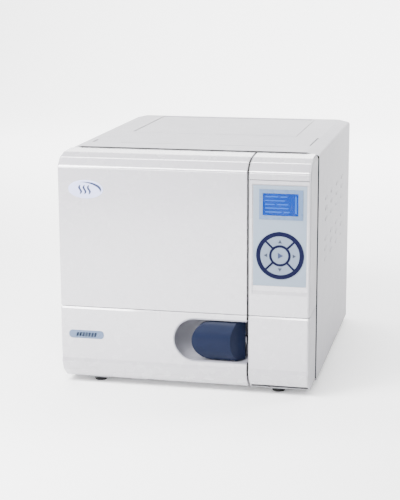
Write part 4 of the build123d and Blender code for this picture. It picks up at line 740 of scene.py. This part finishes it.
def add_boiler_dressing():
    """Clamp bands, each with a tab, on the steam generator."""
    low, high = box_mm("steam_generator")
    x, y, radius = (low.x + high.x) / 2, (low.y + high.y) / 2, (high.x - low.x) / 2
    bands = Piece("boiler_bands", "stainless", (x, y, low.z))
    inner, outer = radius - 1.0, radius + 0.9
    for z in (low.z + 40.0, low.z + 110.0):
        bands.lathe((x, y, z), "Z", [(inner, -5.0), (outer, -5.0), (outer, 5.0), (inner, 5.0)], 72)
        bands.box((x - 6.0, x + 6.0), (y - radius - 6.0, y - radius + 1.0), (z - 5.0, z + 5.0))
    bands.done("chassis", bevel=0.4)


# ---------------------------------------------------------------- stage, lights and camera

def add_floor():
    """Pale table that glows a little, as a light table does, and sweeps up behind the object."""
    side = 9.0
    reach = (-7.0, 3.4)
    bend = 1.6
    rows = [(reach[0], 0.0), (reach[1], 0.0)]
    for step in range(1, 13):
        turn = step / 12 * math.pi / 2
        rows.append((reach[1] + bend * math.sin(turn), bend - bend * math.cos(turn)))
    rows.append((reach[1] + bend, 6.0))
    points = [(x, y, z) for y, z in rows for x in (-side, side)]
    faces = [(i, i + 1, i + 3, i + 2) for i in range(0, len(points) - 2, 2)]
    mesh = bpy.data.meshes.new("floor")
    mesh.from_pydata(points, [], faces)
    mesh.shade_smooth()
    floor = bpy.data.objects.new("floor", mesh)
    bpy.context.scene.collection.objects.link(floor)
    paper = Finish("floor_paper", (0.90, 0.90, 0.90), 0.8, specular=0.2)
    paper.shader.inputs["Emission Color"].default_value = (1.0, 1.0, 1.0, 1.0)
    paper.shader.inputs["Emission Strength"].default_value = FLOOR_GLOW
    mesh.materials.append(paper.grain(300.0, 0.05, 0.05 * MM).material)


def add_light(name, place, aim, size, watts, colour=(1.0, 1.0, 1.0)):
    data = bpy.data.lights.new(name, "AREA")
    data.shape = "RECTANGLE"
    data.size, data.size_y = size
    data.energy = watts
    data.color = colour
    lamp = bpy.data.objects.new(name, data)
    bpy.context.scene.collection.objects.link(lamp)
    lamp.location = place
    lamp.rotation_euler = (Vector(aim) - Vector(place)).to_track_quat("-Z", "Y").to_euler()


def add_studio():
    """Softbox at the upper left, three strips that rolled edges and creases reflect, and fill lights."""
    add_light("key", (-0.80, -1.00, 1.00), (-0.10, -0.25, 0.32), (0.8, 0.6), KEY_WATTS)
    add_light("front_strip", (-0.40, -1.50, 1.95), (0.0, -0.25, 0.40), (1.8, 0.60), STRIP_WATTS)
    add_light("rear_strip", (-0.30, 0.60, 2.10), (0.0, -0.10, 0.40), (2.0, 0.45), 0.5 * STRIP_WATTS)
    add_light("low_strip", (-0.36, -1.95, 0.72), (0.0, -0.28, 0.08), (1.6, 0.16), LOW_STRIP_WATTS)
    add_light("side", (1.05, 0.35, 1.15), (0.22, 0.05, 0.35), (0.5, 0.5), SIDE_WATTS)
    add_light("table_light", (0.0, 0.2, 3.2), (0.0, 0.2, 0.0), (5.0, 5.0), TABLE_WATTS)
    add_light("backdrop", (0.0, 2.0, 2.6), (0.0, 4.2, 0.4), (5.0, 1.0), BACKDROP_WATTS)
    world = bpy.data.worlds.new("studio")
    bpy.context.scene.world = world
    world.use_nodes = True
    world.node_tree.nodes["Background"].inputs["Color"].default_value = (0.96, 0.96, 1.0, 1.0)
    world.node_tree.nodes["Background"].inputs["Strength"].default_value = WORLD_STRENGTH


def add_camera():
    """Camera in front of the machine, to its right and above it, looking slightly down."""
    camera = bpy.data.objects.new("camera", bpy.data.cameras.new("camera"))
    bpy.context.scene.collection.objects.link(camera)
    camera.data.sensor_width = 36.0
    camera.data.lens = CAMERA_LENS
    camera.data.clip_end = 50.0
    turn = Euler((math.pi / 2 - CAMERA_PITCH, 0.0, CAMERA_YAW)).to_matrix()
    turn = turn @ Matrix.Rotation(CAMERA_ROLL, 3, "Z")
    camera.matrix_world = Matrix.Translation(CAMERA_PLACE) @ turn.to_4x4()
    bpy.context.scene.camera = camera


dress_nodes()
# The latch hook takes near-black steel as painted shade, deep in the handle pocket; the hinge bracket and
# handle pin take the same steel.
repaint("black_steel_and_shade", "latch_hook", "hinge_bracket", "handle_pin")
soften(0.8, "key_start", "key_up", "key_down", "key_left", "key_right", "keypad_ring")
soften(0.5, "display_bezel", "label_overlay", "tank_lid")
soften(2.0, "door_handle")
add_screen()
add_key_icons()
add_badges()
add_cover_gap_shade()
add_door_gap_shade()
add_rear_screws()
add_rating_plate()
add_fan_guard()
add_inlet_pins()
add_rocker_marks()
add_drain()
add_feet()
add_pressure_disc()
add_gasket()
add_jacket()
add_flange_bolts()
add_boiler_dressing()
add_floor()
add_studio()
add_camera()
